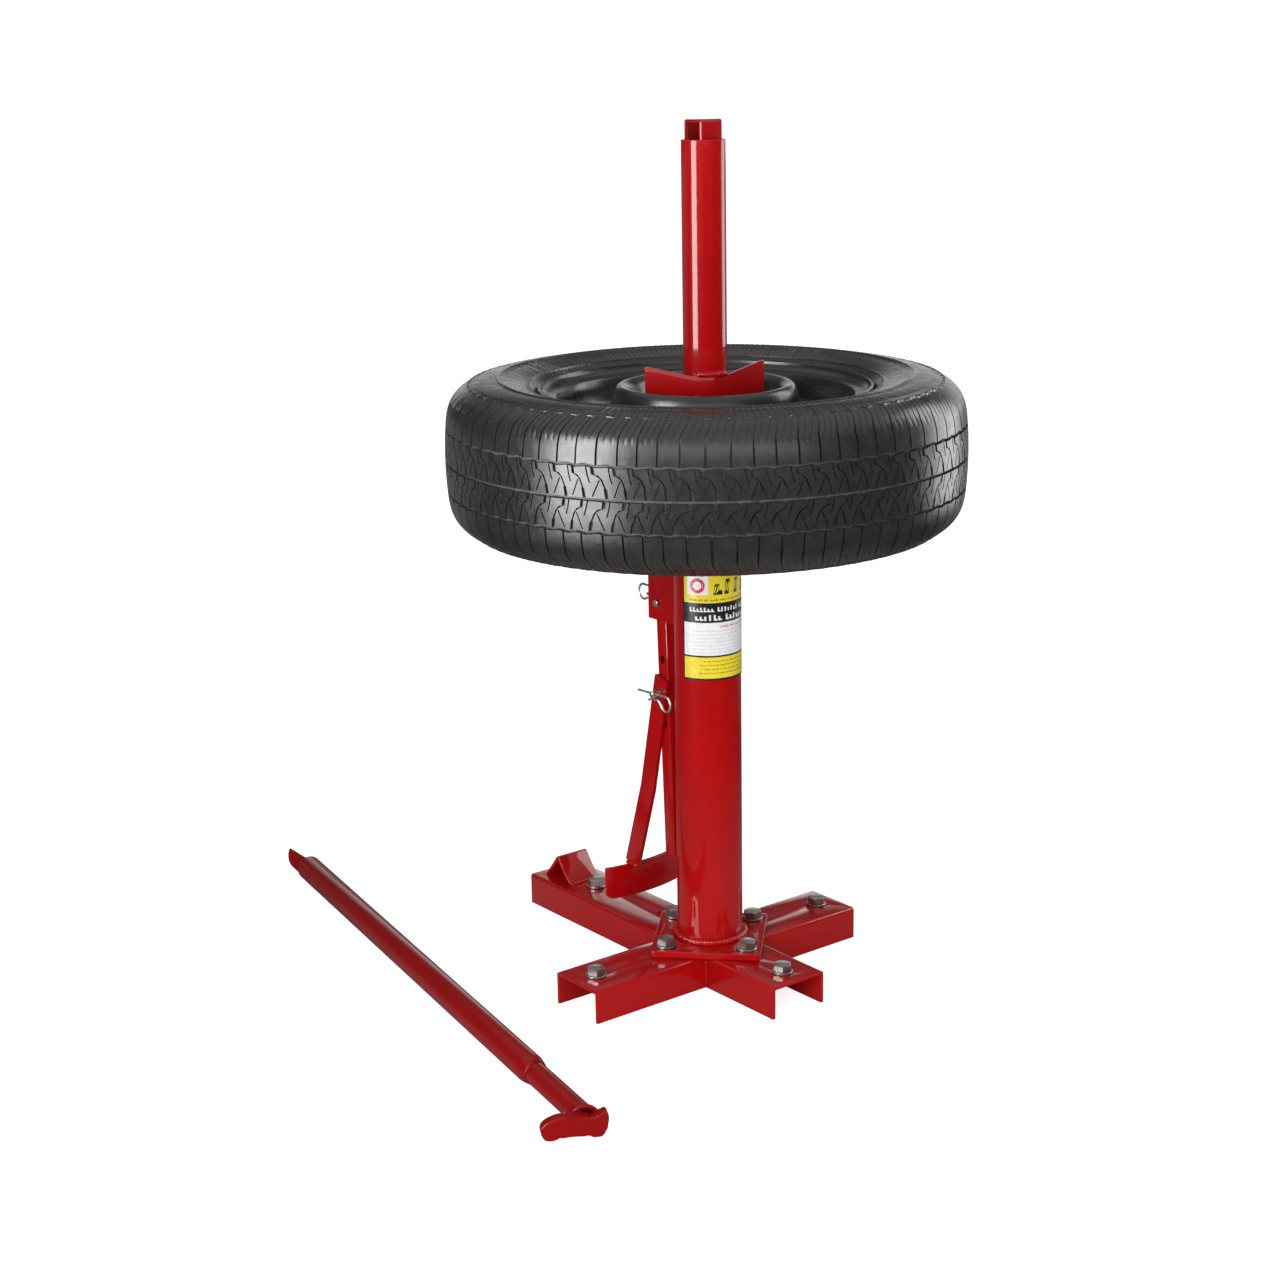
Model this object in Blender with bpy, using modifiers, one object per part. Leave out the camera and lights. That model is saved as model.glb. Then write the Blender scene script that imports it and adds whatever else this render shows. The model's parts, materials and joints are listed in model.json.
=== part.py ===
"""Manual tire changer: a floor stand with a bead breaker, a loaded car wheel and a loose mount bar.

Metres, +Z up. The machine is modelled about its column: the column's axis meets the floor at the
machine's own zero, +X runs along the short end of the long leg and +Y along the cross leg.
"""

from math import atan2, cos, pi, radians, sin

import bmesh
import bpy
from mathutils import Matrix, Vector

# ---------------------------------------------------------------- driving dimensions
NAME = "tire_changer"
GAP = 0.0003                      # air between pieces that touch
COLUMN_PLACE = (0.1805, 0.0597)   # the column's axis in the part's frame, whose zero is the floor's middle

LEG_WIDTH = 0.0762
LEG_HEIGHT = 0.0385
LEG_WALL = 0.004
LONG_LEG_BACK = -0.310
LONG_LEG_FRONT = 0.155
CROSS_LEG_REACH = 0.195

BOLT_RADIUS = 0.006
BOLT_HOLE = 0.0066
HEX_FLATS = 0.019
BOLT_TURN = radians(17)           # each bolt stands turned a little further than the one before
BOLT_HEAD = 0.0075
NUT_HEIGHT = 0.010
WASHER_RADIUS = 0.012
WASHER_THICK = 0.0024
PLATE_BOLT_PLACE = 0.066
LEG_BOLT_LENGTH = 0.0155
PLATE_BOLT_LENGTH = 0.031
LEG_BOLTS = ((0.128, 0.0), (-0.222, 0.0), (0.0, 0.168), (0.0, -0.168))

PLATE_SIDE = 0.127
PLATE_THICK = 0.008
PLATE_BOTTOM = LEG_HEIGHT + GAP
PLATE_TOP = PLATE_BOTTOM + PLATE_THICK

COLUMN_RADIUS = 0.0381
COLUMN_WALL = 0.0035
COLUMN_BOTTOM = PLATE_TOP + GAP
COLUMN_TOP = 0.660
FOOT_WELD = 0.005

WHEEL_PLATE_RADIUS = 0.085
WHEEL_PLATE_THICK = 0.008
WHEEL_PLATE_BOTTOM = COLUMN_TOP + GAP
WHEEL_PLATE_TOP = WHEEL_PLATE_BOTTOM + WHEEL_PLATE_THICK

POST_SIDE = 0.030
POST_WALL = 0.003
POST_BOTTOM = 0.300
POST_TOP = 0.979
POST_BEND = 0.006
POST_EDGE = 0.0025
WINDOW_WIDTH = 0.0225
WINDOW_BOTTOM = 0.955
SPACER_THICK = 0.006

LUG_CIRCLE = 0.050
LUG_COUNT = 4
LUG_HOLE = 0.007
DRIVE_PIN_ANGLE = radians(142)    # on the side of the post that the clamp foot leaves open
DRIVE_PIN_TOP = 0.690

CLAMP_RADIUS = 0.0242
CLAMP_WALL = 0.003
CLAMP_BOTTOM = 0.674
CLAMP_TOP = 0.958
FOOT_FACING = radians(-20.8)      # the side of the clamp tube that the foot wraps
FOOT_WING_TURN = radians(24.2)    # half the arc the foot wraps, where the wings leave it
FOOT_WING_LENGTH = 0.0637
FOOT_THICK = 0.003
FOOT_FRONT_TOP = 0.707
FOOT_TIP_TOP = 0.7162
FOOT_LEVEL = 0.022                # half the width over which the foot's top edge is level

WHEEL_CENTRE = 0.620
WHEEL_STEPS = 36
DISC_THICK = 0.004
RIM_THICK = 0.003
TYRE_THICK = 0.009
VENT_COUNT = 12
VENT_CIRCLE = 0.1255
VENT_RADIUS = 0.0085
VENT_START = radians(7)
VENT_DROP = 0.0203                # the disc's slope lies this far under its seat there
VALVE_RADIUS = 0.156
VALVE_Z = 0.031
VALVE_ANGLE = radians(150)
VALVE_LEAN = radians(-57)

PIVOT = Vector((-0.070, 0.0, 0.435))
ARM_WIDTH = 0.019
ARM_DEPTH = 0.025
ARM_WALL = 0.002
ARM_ABOVE = 0.012
ARM_BELOW = 0.305
ARM_TILT = radians(-2.25)
ARM_HOLES = (0.068, 0.1065, 0.145)
LINK_HOLE_DROP = ARM_HOLES[1]
PIN_RADIUS = 0.004
PIN_HOLE = 0.0045
PIN_HEAD_RADIUS = 0.0050
PIN_HEAD_LENGTH = 0.003
PIN_PAST_CLIP = 0.006

BRACKET_WALL = 0.004
BRACKET_INNER = 0.0133
BRACKET_WEB = -0.0430             # the web's inner face; its back is hollowed to fit the column
BRACKET_REACH = -0.0858
BRACKET_BOTTOM = 0.4148
BRACKET_TOP = 0.497

LINK_WIDTH = 0.0235
LINK_THICK = 0.005
LINK_Y = -0.0155
LINK_LINE = ((-0.0638, 0.3465), (-0.0935, 0.2050), (-0.1262, 0.1003))
SHOE_BOTTOM = 0.060
SHOE_TOP = 0.100
SHOE_APEX = -0.127
SHOE_BEND = 0.190
SHOE_THICK = 0.005
SHOE_Y = (-0.052, 0.072)
SHOE_CORNER = 0.010

STOP_X = (-0.297, -0.2705, -0.245)
STOP_RIDGE = 0.0715
STOP_Y = (-0.024, 0.020)
STOP_WALL = 0.004

LABEL_HALF_ANGLE = radians(84.4)
LABEL_Z = (0.365, 0.505)
LABEL_THICK = 0.0004

CLIP_WIRE = 0.0014
CLIP_LOOP = 0.009
CLIP_SWEEP = radians(240)
CLIP_TURNS = 14
CLIP_UNDER_PIN = 0.0065           # the bowed leg passes this far under the pin's axis
CLIP_SHORT_TAIL = 0.0115
PIVOT_CLIP_TILT = radians(2)
PIVOT_CLIP_REACH = 0.0743         # from the pin to the coil's centre
PIVOT_CLIP_TAIL = 0.016
LINK_CLIP_TILT = radians(-2.5)
LINK_CLIP_REACH = 0.0198
LINK_CLIP_TAIL = 0.031

BAR_TIP = (-0.6435, -0.1997)
BAR_TURN = radians(-10.33)
BAR_AXIS_Z = 0.0162
BAR_RADIUS = 0.0159
BAR_WALL = 0.0024
BAR_START = 0.078
BAR_END = 0.778
BAR_CRIMP = 0.015                 # length over which the tube closes onto the neck
NECK_RADIUS = 0.0127
NECK_WALL = 0.0025
NECK_START = 0.700
NECK_END = 0.8895
HEAD_THICK = 0.014
HEAD_PLACE = 0.9015               # where the bar's axis crosses the head's middle plane
HEAD_YAW = radians(-18)
HEAD_EDGE = 0.0025
TONGUE_THICK = 0.005
TONGUE_ROLL = radians(37.5)       # the tongue leans toward the side of the bar away from the column
TONGUE_DROP = 0.0053              # the tongue's middle plane lies this far under the bar's axis
TONGUE_END = 0.120
TONGUE_ROOT = 0.0093              # half its width inside the tube

RED = (0.42, 0.006, 0.010, 1)
ZINC = (0.55, 0.55, 0.53, 1)
RUBBER = (0.02, 0.02, 0.02, 1)
RIM_BLACK = (0.03, 0.03, 0.032, 1)
LABEL_YELLOW = (0.85, 0.62, 0.03, 1)


# ---------------------------------------------------------------- scene, materials, collections
def clear_scene():
    for obj in list(bpy.data.objects):
        bpy.data.objects.remove(obj, do_unlink=True)


def new_collection(name):
    collection = bpy.data.collections.new(name)
    bpy.context.scene.collection.children.link(collection)
    return collection


def material(name, colour, roughness, metallic):
    mat = bpy.data.materials.new(name)
    mat.use_nodes = True
    shader = mat.node_tree.nodes["Principled BSDF"]
    shader.inputs["Base Color"].default_value = colour
    shader.inputs["Roughness"].default_value = roughness
    shader.inputs["Metallic"].default_value = metallic
    return mat


clear_scene()
PARTS = new_collection(NAME)
CUTTERS = new_collection("cutters")
ENAMEL = ("red_enamel", RED, 0.25, 0.0)
PLATED = ("zinc", ZINC, 0.35, 1.0)
TREAD = ("tyre_rubber", RUBBER, 0.6, 0.0)
PAINT = ("rim_paint", RIM_BLACK, 0.4, 0.0)
STICKER = ("label_film", LABEL_YELLOW, 0.35, 0.0)


def empty(name, location, rotation=(0, 0, 0), parent=None):
    obj = bpy.data.objects.new(name, None)
    obj.location = location
    obj.rotation_euler = rotation
    obj.parent = parent
    PARTS.objects.link(obj)
    return obj


MACHINE = empty("machine", (*COLUMN_PLACE, 0.0))
BAR = empty("bar", (COLUMN_PLACE[0] + BAR_TIP[0], COLUMN_PLACE[1] + BAR_TIP[1], BAR_AXIS_Z), (0, 0, BAR_TURN))
ARM_PIVOT = empty("arm_pivot", PIVOT, (0, ARM_TILT, 0), MACHINE)
LINK_PIN_PLACE = PIVOT + Vector((-sin(ARM_TILT), 0, -cos(ARM_TILT))) * LINK_HOLE_DROP
LINK_PIVOT = empty("link_pivot", LINK_PIN_PLACE, (0, 0, 0), MACHINE)
PIVOT_REST = empty("pivot_rest", PIVOT, (0, 0, 0), MACHINE)   # the pivot pin stays still when the arm swings
CLAMP_PLACE = empty("clamp_place", (0, 0, CLAMP_BOTTOM), (0, 0, 0), MACHINE)
WHEEL_PLACE = empty("wheel_place", (0, 0, WHEEL_CENTRE), (0, 0, 0), MACHINE)


# ---------------------------------------------------------------- making and shaping pieces
def piece(name, mesh, finish, parent=MACHINE, location=(0, 0, 0), rotation=(0, 0, 0)):
    """One named sub-part with its own material, placed under a parent empty."""
    obj = bpy.data.objects.new(name, mesh)
    mesh.shade_smooth()
    mesh.set_sharp_from_angle(angle=radians(30))
    label, colour, roughness, metallic = finish
    mesh.materials.clear()
    mesh.materials.append(material(f"{name}_{label}", colour, roughness, metallic))
    obj.parent = parent
    obj.location = location
    obj.rotation_euler = rotation
    PARTS.objects.link(obj)
    return obj


def cutter(name, mesh, parent=MACHINE, location=(0, 0, 0), rotation=(0, 0, 0)):
    obj = bpy.data.objects.new(name, mesh)
    obj.parent = parent
    obj.location = location
    obj.rotation_euler = rotation
    obj.hide_render = True
    obj.display_type = "WIRE"
    CUTTERS.objects.link(obj)
    return obj


def boolean(obj, tool, operation="DIFFERENCE"):
    modifier = obj.modifiers.new(f"{operation.lower()}_{tool.name}", "BOOLEAN")
    modifier.operation = operation
    modifier.object = tool


def mesh_from(build, name):
    bm = bmesh.new()
    build(bm)
    mesh = bpy.data.meshes.new(name)
    bm.to_mesh(mesh)
    bm.free()
    return mesh


def box_mesh(size, centre=(0, 0, 0)):
    matrix = Matrix.Translation(centre) @ Matrix.Diagonal((*size, 1))
    return mesh_from(lambda bm: bmesh.ops.create_cube(bm, size=1, matrix=matrix), "box")


def rod_mesh(radius, depth, sides=24, centre=(0, 0, 0), axis="Z"):
    """A round rod, or a hexagonal one with six sides, whose middle is at centre."""
    turn = {"X": Matrix.Rotation(pi / 2, 4, "Y"), "Y": Matrix.Rotation(pi / 2, 4, "X"), "Z": Matrix()}[axis]
    matrix = Matrix.Translation(centre) @ turn

    def build(bm):
        bmesh.ops.create_cone(
            bm, cap_ends=True, segments=sides, radius1=radius, radius2=radius, depth=depth, matrix=matrix
        )

    return mesh_from(build, "rod")


def solid_of(obj, weld):
    """The evaluated object as a plain mesh, its loose caps welded; the object itself is removed."""
    bpy.context.view_layer.update()
    graph = bpy.context.evaluated_depsgraph_get()
    mesh = bpy.data.meshes.new_from_object(obj.evaluated_get(graph))
    if weld:
        bm = bmesh.new()
        bm.from_mesh(mesh)
        bmesh.ops.remove_doubles(bm, verts=bm.verts, dist=1e-6)
        bm.to_mesh(mesh)
        bm.free()
    bpy.data.objects.remove(obj, do_unlink=True)
    return mesh


def outline_mesh(rings, thickness):
    """A flat outline in XY, with any further rings as holes, made into a plate about z = 0."""
    curve = bpy.data.curves.new("outline", "CURVE")
    curve.dimensions = "2D"
    curve.fill_mode = "BOTH"
    curve.extrude = thickness / 2
    for ring in rings:
        spline = curve.splines.new("POLY")
        spline.points.add(len(ring) - 1)
        for point, (x, y) in zip(spline.points, ring):
            point.co = (x, y, 0, 1)
        spline.use_cyclic_u = True
    obj = bpy.data.objects.new("outline", curve)
    PARTS.objects.link(obj)
    return solid_of(obj, weld=True)


def rounded(corners, steps=4):
    """Corners given as (x, y, radius), each radius drawn as a tangent arc."""
    points = []
    for i, (x, y, radius) in enumerate(corners):
        if radius == 0:
            points.append((x, y))
            continue
        here = Vector((x, y))
        before = (Vector(corners[i - 1][:2]) - here).normalized()
        after = (Vector(corners[(i + 1) % len(corners)][:2]) - here).normalized()
        half = before.angle(after) / 2
        centre = here + (before + after).normalized() * radius / sin(half)
        start = here + before * radius / (sin(half) / cos(half)) - centre
        sweep = start.angle_signed(here + after * radius / (sin(half) / cos(half)) - centre)
        for k in range(steps + 1):
            # angle_signed is clockwise, so the sweep is taken off the start angle
            angle = atan2(start.y, start.x) - sweep * k / steps
            points.append((centre.x + radius * cos(angle), centre.y + radius * sin(angle)))
    return points


def circle(radius, centre=(0, 0), sides=20):
    return [
        (centre[0] + radius * cos(2 * pi * k / sides), centre[1] + radius * sin(2 * pi * k / sides))
        for k in range(sides)
    ]


def band(points, thickness):
    """A flat strip's outline about an open line of points."""
    line = [Vector(p) for p in points]
    left, right = [], []
    for i, point in enumerate(line):
        ahead = (line[min(i + 1, len(line) - 1)] - point).normalized()
        behind = (point - line[max(i - 1, 0)]).normalized()
        along = (ahead + behind).normalized()
        normal = Vector((-along.y, along.x))
        ends = ahead.length == 0 or behind.length == 0
        stretch = 1 if ends else 1 / max(0.3, along.dot(ahead))
        left.append(point + normal * thickness / 2 * stretch)
        right.append(point - normal * thickness / 2 * stretch)
    return [tuple(p) for p in left + right[::-1]]


def turned(name, profile, finish, parent=MACHINE, location=(0, 0, 0), steps=48, closed=True, wall=None):
    """A profile of (radius, z) swept round Z: a closed section, or an open one given a wall."""
    mesh = bpy.data.meshes.new(name)
    count = len(profile)
    edges = [(i, (i + 1) % count) for i in range(count if closed else count - 1)]
    mesh.from_pydata([(r, 0, z) for r, z in profile], edges, [])
    obj = piece(name, mesh, finish, parent, location)
    screw = obj.modifiers.new("turn", "SCREW")
    screw.steps = steps
    screw.render_steps = steps
    screw.use_merge_vertices = True
    screw.merge_threshold = 0.00001
    screw.use_smooth_shade = True
    if wall:
        solidify = obj.modifiers.new("wall", "SOLIDIFY")
        solidify.thickness, solidify.offset = wall
        solidify.use_even_offset = True
    return obj


def tube_profile(outer, inner, bottom, top):
    return [(outer, top), (outer, bottom), (inner, bottom), (inner, top)]


# outlines lie in XY; these turns stand them up so that they are drawn in YZ or in XZ
STAND_YZ = (pi / 2, 0, pi / 2)
STAND_XZ = (pi / 2, 0, 0)


# ---------------------------------------------------------------- base
def leg_section():
    half, inner, top = LEG_WIDTH / 2, LEG_WIDTH / 2 - LEG_WALL, LEG_HEIGHT - LEG_WALL
    bend = 0.0035
    return rounded([
        (-half, 0, 0), (-inner, 0, 0), (-inner, top, 0), (inner, top, 0),
        (inner, 0, 0), (half, 0, 0), (half, LEG_HEIGHT, bend), (-half, LEG_HEIGHT, bend),
    ])


def bolt_holes(obj, places, radius=BOLT_HOLE, z=LEG_HEIGHT):
    for i, (x, y) in enumerate(places):
        boolean(obj, cutter(f"{obj.name}_hole_{i + 1}", rod_mesh(radius, 0.04), location=(x, y, z)))


def long_leg():
    length = LONG_LEG_FRONT - LONG_LEG_BACK
    middle = (LONG_LEG_FRONT + LONG_LEG_BACK) / 2
    mesh = outline_mesh([leg_section()], length)
    leg = piece("long_leg", mesh, ENAMEL, location=(middle, 0, 0), rotation=STAND_YZ)
    notch_top = LEG_HEIGHT - LEG_WALL
    notch = box_mesh((LEG_WIDTH + 2 * GAP, LEG_WIDTH * 1.2, 2 * notch_top))
    boolean(leg, cutter("long_leg_notch", notch))
    along = [place for place in LEG_BOLTS if place[0]]
    bolt_holes(leg, along + [(PLATE_BOLT_PLACE, 0), (-PLATE_BOLT_PLACE, 0)])


def cross_leg():
    mesh = outline_mesh([leg_section()], 2 * CROSS_LEG_REACH)
    leg = piece("cross_leg", mesh, ENAMEL, rotation=STAND_XZ)
    web = LEG_WALL + GAP
    notch = box_mesh((LEG_WIDTH * 1.2, LEG_WIDTH + 2 * GAP, 2 * web))
    boolean(leg, cutter("cross_leg_notch", notch, location=(0, 0, LEG_HEIGHT)))
    across = [place for place in LEG_BOLTS if place[1]]
    bolt_holes(leg, across + [(0, PLATE_BOLT_PLACE), (0, -PLATE_BOLT_PLACE)])


def around(radius, count, start=0.0):
    angles = [start + 2 * pi * k / count for k in range(count)]
    return [(radius * cos(angle), radius * sin(angle)) for angle in angles]


def base_plate():
    reach = PLATE_SIDE / 2 * 2 ** 0.5
    corner = 0.004
    square = rounded([(x, y, corner) for x, y in around(reach, 4)])
    holes = [circle(BOLT_HOLE, place) for place in around(PLATE_BOLT_PLACE, 4)]
    mesh = outline_mesh([square] + holes, PLATE_THICK)
    piece("base_plate", mesh, ENAMEL, location=(0, 0, PLATE_BOTTOM + PLATE_THICK / 2))


def hex_radius():
    return HEX_FLATS / 2 / cos(pi / 6)


def bolt_mesh(shank_length):
    """A hexagon head on a shank, with its zero under the head."""
    overlap = 0.002
    rod = rod_mesh(BOLT_RADIUS, shank_length + overlap, 16, (0, 0, (overlap - shank_length) / 2))
    shank = bpy.data.objects.new("shank", rod)
    head = cutter("head", rod_mesh(hex_radius(), BOLT_HEAD, 6, (0, 0, BOLT_HEAD / 2)), parent=None)
    PARTS.objects.link(shank)
    boolean(shank, head, "UNION")
    mesh = solid_of(shank, weld=False)
    bpy.data.objects.remove(head, do_unlink=True)
    return mesh


def washer_mesh():
    return outline_mesh([circle(WASHER_RADIUS), circle(BOLT_HOLE)], WASHER_THICK)


def fasteners(kind, places, seat, shank_length, nut_under=None):
    """A washer and a bolt at each place, and a nut under the plates where there is one."""
    for i, (x, y) in enumerate(places):
        number = i + 1
        bottom = seat + GAP
        piece(f"{kind}_washer_{number}", washer_mesh(), PLATED, location=(x, y, bottom + WASHER_THICK / 2))
        turn = (0, 0, BOLT_TURN * number)
        under_head = bottom + WASHER_THICK + GAP
        bolt = bolt_mesh(shank_length)
        piece(f"{kind}_bolt_{number}", bolt, PLATED, location=(x, y, under_head), rotation=turn)
        if nut_under:
            hexagon = around(hex_radius(), 6)
            mesh = outline_mesh([hexagon, circle(BOLT_RADIUS + GAP)], NUT_HEIGHT)
            nut_z = nut_under - GAP - NUT_HEIGHT / 2
            piece(f"{kind}_nut_{number}", mesh, PLATED, location=(x, y, nut_z), rotation=turn)


def rim_stop():
    foot = LEG_HEIGHT + GAP
    left, ridge, right = STOP_X
    slope = atan2(STOP_RIDGE - foot, right - ridge)
    foot_width = STOP_WALL / sin(slope)
    inner_ridge = STOP_RIDGE - STOP_WALL / cos(slope)
    outline = rounded([
        (left, foot, 0), (left + foot_width, foot, 0), (ridge, inner_ridge, 0),
        (right - foot_width, foot, 0), (right, foot, 0), (ridge, STOP_RIDGE, 0.003),
    ])
    mesh = outline_mesh([outline], STOP_Y[1] - STOP_Y[0])
    piece("rim_stop", mesh, ENAMEL, location=(0, sum(STOP_Y) / 2, 0), rotation=STAND_XZ)


# ---------------------------------------------------------------- column, post and clamp
def column_tube():
    inner = COLUMN_RADIUS - COLUMN_WALL
    weld = [
        (COLUMN_RADIUS + FOOT_WELD * (1 - sin(k * pi / 8)), COLUMN_BOTTOM + FOOT_WELD * (1 - cos(k * pi / 8)))
        for k in (4, 3, 2, 1, 0)
    ]
    profile = [(COLUMN_RADIUS, COLUMN_TOP)] + weld + [(inner, COLUMN_BOTTOM), (inner, COLUMN_TOP)]
    turned("column_tube", profile, ENAMEL)


def square_hole(side=POST_SIDE + 2 * GAP):
    half = side / 2
    corner = POST_EDGE
    corners = [(half, half), (-half, half), (-half, -half), (half, -half)]
    return rounded([(x, y, corner) for x, y in corners], 2)


def drive_pin_place():
    return (LUG_CIRCLE * cos(DRIVE_PIN_ANGLE), LUG_CIRCLE * sin(DRIVE_PIN_ANGLE))


def wheel_plate():
    rings = [circle(WHEEL_PLATE_RADIUS, sides=48), square_hole(), circle(BOLT_HOLE, drive_pin_place())]
    z = WHEEL_PLATE_BOTTOM + WHEEL_PLATE_THICK / 2
    piece("wheel_plate", outline_mesh(rings, WHEEL_PLATE_THICK), ENAMEL, location=(0, 0, z))


def post_spacer():
    inside = COLUMN_RADIUS - COLUMN_WALL - GAP
    mesh = outline_mesh([circle(inside, sides=32), square_hole()], SPACER_THICK)
    piece("post_spacer", mesh, PLATED, location=(0, 0, POST_BOTTOM + SPACER_THICK))


def centre_post():
    height = POST_TOP - POST_BOTTOM
    middle = (POST_TOP + POST_BOTTOM) / 2
    half = POST_SIDE / 2
    front = rounded([
        (-half, -height / 2, 0), (half, -height / 2, 0),
        (half, height / 2, POST_BEND), (-half, height / 2, POST_BEND),
    ])
    mesh = outline_mesh([front], POST_SIDE)
    post = piece("centre_post", mesh, ENAMEL, location=(0, 0, middle), rotation=STAND_XZ)
    plan = cutter("post_edges", outline_mesh([square_hole(POST_SIDE)], height * 1.1), location=(0, 0, middle))
    boolean(post, plan, "INTERSECT")
    bore = POST_SIDE - 2 * POST_WALL
    ceiling = POST_TOP - POST_WALL
    hollow = box_mesh((bore, bore, height), (0, 0, ceiling - height / 2))
    boolean(post, cutter("post_hollow", hollow))
    window = box_mesh((WINDOW_WIDTH, POST_SIDE * 1.4, ceiling - 0.0005 - WINDOW_BOTTOM))
    boolean(post, cutter("post_window", window, location=(0, 0, (ceiling - 0.0005 + WINDOW_BOTTOM) / 2)))


def drive_pin():
    x, y = drive_pin_place()
    nut_height = 0.006
    shoulder = 0.003
    under_plate = WHEEL_PLATE_BOTTOM - GAP - nut_height - shoulder
    dome = 0.002
    profile = [
        (0, DRIVE_PIN_TOP), (BOLT_RADIUS - dome, DRIVE_PIN_TOP), (BOLT_RADIUS, DRIVE_PIN_TOP - dome),
        (BOLT_RADIUS, under_plate), (0, under_plate),
    ]
    turned("drive_pin", profile, PLATED, location=(x, y, 0), steps=16, closed=False)
    nut = outline_mesh([around(hex_radius(), 6), circle(BOLT_RADIUS + GAP)], nut_height)
    piece("drive_pin_nut", nut, PLATED, location=(x, y, WHEEL_PLATE_BOTTOM - GAP - nut_height / 2))


def clamp_tube():
    profile = tube_profile(CLAMP_RADIUS, CLAMP_RADIUS - CLAMP_WALL, 0, CLAMP_TOP - CLAMP_BOTTOM)
    turned("clamp_tube", profile, ENAMEL, CLAMP_PLACE, steps=40)


def clamp_foot():
    """A strap bent round the front of the clamp tube, with a straight wing to each side."""
    wrap = CLAMP_RADIUS + GAP + FOOT_THICK / 2
    turns = [FOOT_WING_TURN * k / 4 for k in range(-4, 5)]
    arc = [(wrap * cos(turn), wrap * sin(turn)) for turn in turns]
    ends = [
        (x - FOOT_WING_LENGTH * sin(FOOT_WING_TURN), y + side * FOOT_WING_LENGTH * cos(FOOT_WING_TURN))
        for (x, y), side in ((arc[0], -1), (arc[-1], 1))
    ]
    plan = band([ends[0]] + arc + [ends[1]], FOOT_THICK)
    height = FOOT_TIP_TOP - CLAMP_BOTTOM
    mesh = outline_mesh([plan], height)
    foot = piece("clamp_foot", mesh, ENAMEL, CLAMP_PLACE, (0, 0, height / 2), (0, 0, FOOT_FACING))
    front_top = FOOT_FRONT_TOP - CLAMP_BOTTOM
    reach = ends[1][1]
    flat_tip = 0.004
    right_half = [
        (reach + 0.01, -0.01), (reach + 0.01, height + 0.001),
        (reach - flat_tip, height), (FOOT_LEVEL, front_top),
    ]
    left_half = [(-y, z) for y, z in reversed(right_half)]
    front = outline_mesh([right_half + left_half], 0.2)
    stand = Matrix.Rotation(pi / 2, 4, "Z") @ Matrix.Rotation(pi / 2, 4, "X")
    front.transform(Matrix.Rotation(FOOT_FACING, 4, "Z") @ stand)
    boolean(foot, cutter("foot_top_edge", front, CLAMP_PLACE), "INTERSECT")


# ---------------------------------------------------------------- wheel
def mirrored(upper):
    """An upper half profile, outermost point last, continued below the wheel's middle plane."""
    return upper + [(r, -z) for r, z in reversed(upper) if z > 0]


def tyre():
    upper = [
        (0.1662, 0.0590), (0.1770, 0.0606), (0.1850, 0.0655), (0.1890, 0.0725), (0.2100, 0.0820),
        (0.2360, 0.0855), (0.2620, 0.0790), (0.2790, 0.0650), (0.2863, 0.0420), (0.2885, 0.0),
    ]
    wall = (TYRE_THICK, -1)
    turned("tyre", mirrored(upper), TREAD, WHEEL_PLACE, steps=WHEEL_STEPS, closed=False, wall=wall)


def rim_barrel():
    upper = [
        (0.1832, 0.0735), (0.1810, 0.0675), (0.1750, 0.0640), (0.1640, 0.0620), (0.1620, 0.0400),
        (0.1500, 0.0220),
    ]
    wall = (RIM_THICK, 0)
    profile = mirrored(upper)
    barrel = turned("rim_barrel", profile, PAINT, WHEEL_PLACE, steps=WHEEL_STEPS, closed=False, wall=wall)
    hole = rod_mesh(0.0062, 0.03, 12)
    boolean(barrel, cutter("valve_hole", hole, WHEEL_PLACE, valve_place(), (0, VALVE_LEAN, VALVE_ANGLE)))


def valve_place():
    return (VALVE_RADIUS * cos(VALVE_ANGLE), VALVE_RADIUS * sin(VALVE_ANGLE), VALVE_Z)


def valve_stem():
    """A rubber snap-in stem that leans in and up through the slope of the rim's well."""
    profile = [
        (0, 0.034), (0.0040, 0.034), (0.0040, 0.022), (0.0033, 0.021), (0.0033, 0.018), (0.0055, 0.016),
        (0.0058, -0.005), (0, -0.005),
    ]
    stem = turned("valve_stem", profile, TREAD, WHEEL_PLACE, valve_place(), steps=16, closed=False)
    stem.rotation_euler = (0, VALVE_LEAN, VALVE_ANGLE)


def wheel_disc():
    """The pressed centre: flat seat, raised ring, then a slope out to a rim welded in the well."""
    middle = WHEEL_PLATE_TOP + GAP + DISC_THICK / 2 - WHEEL_CENTRE
    profile = [
        (0.0300, middle), (0.0740, middle), (0.0840, middle + 0.0150), (0.0905, middle + 0.0228),
        (0.0970, middle + 0.0216), (0.1025, middle + 0.0040), (0.1100, middle - 0.0100),
        (0.1400, middle - 0.0300), (0.1464, middle - 0.0380), (0.1464, middle - 0.0600),
    ]
    wall = (DISC_THICK, 0)
    disc = turned("wheel_disc", profile, PAINT, WHEEL_PLACE, steps=WHEEL_STEPS, closed=False, wall=wall)
    for i, (x, y) in enumerate(around(LUG_CIRCLE, LUG_COUNT, DRIVE_PIN_ANGLE)):
        hole = cutter(f"lug_hole_{i + 1}", rod_mesh(LUG_HOLE, 0.03, 16), WHEEL_PLACE, (x, y, middle))
        boolean(disc, hole)
    for number, (x, y) in enumerate(around(VENT_CIRCLE, VENT_COUNT, VENT_START), 1):
        rod = rod_mesh(VENT_RADIUS, 0.04, 12)
        hole = cutter(f"vent_{number}", rod, WHEEL_PLACE, (x, y, middle - VENT_DROP))
        boolean(disc, hole)


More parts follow.
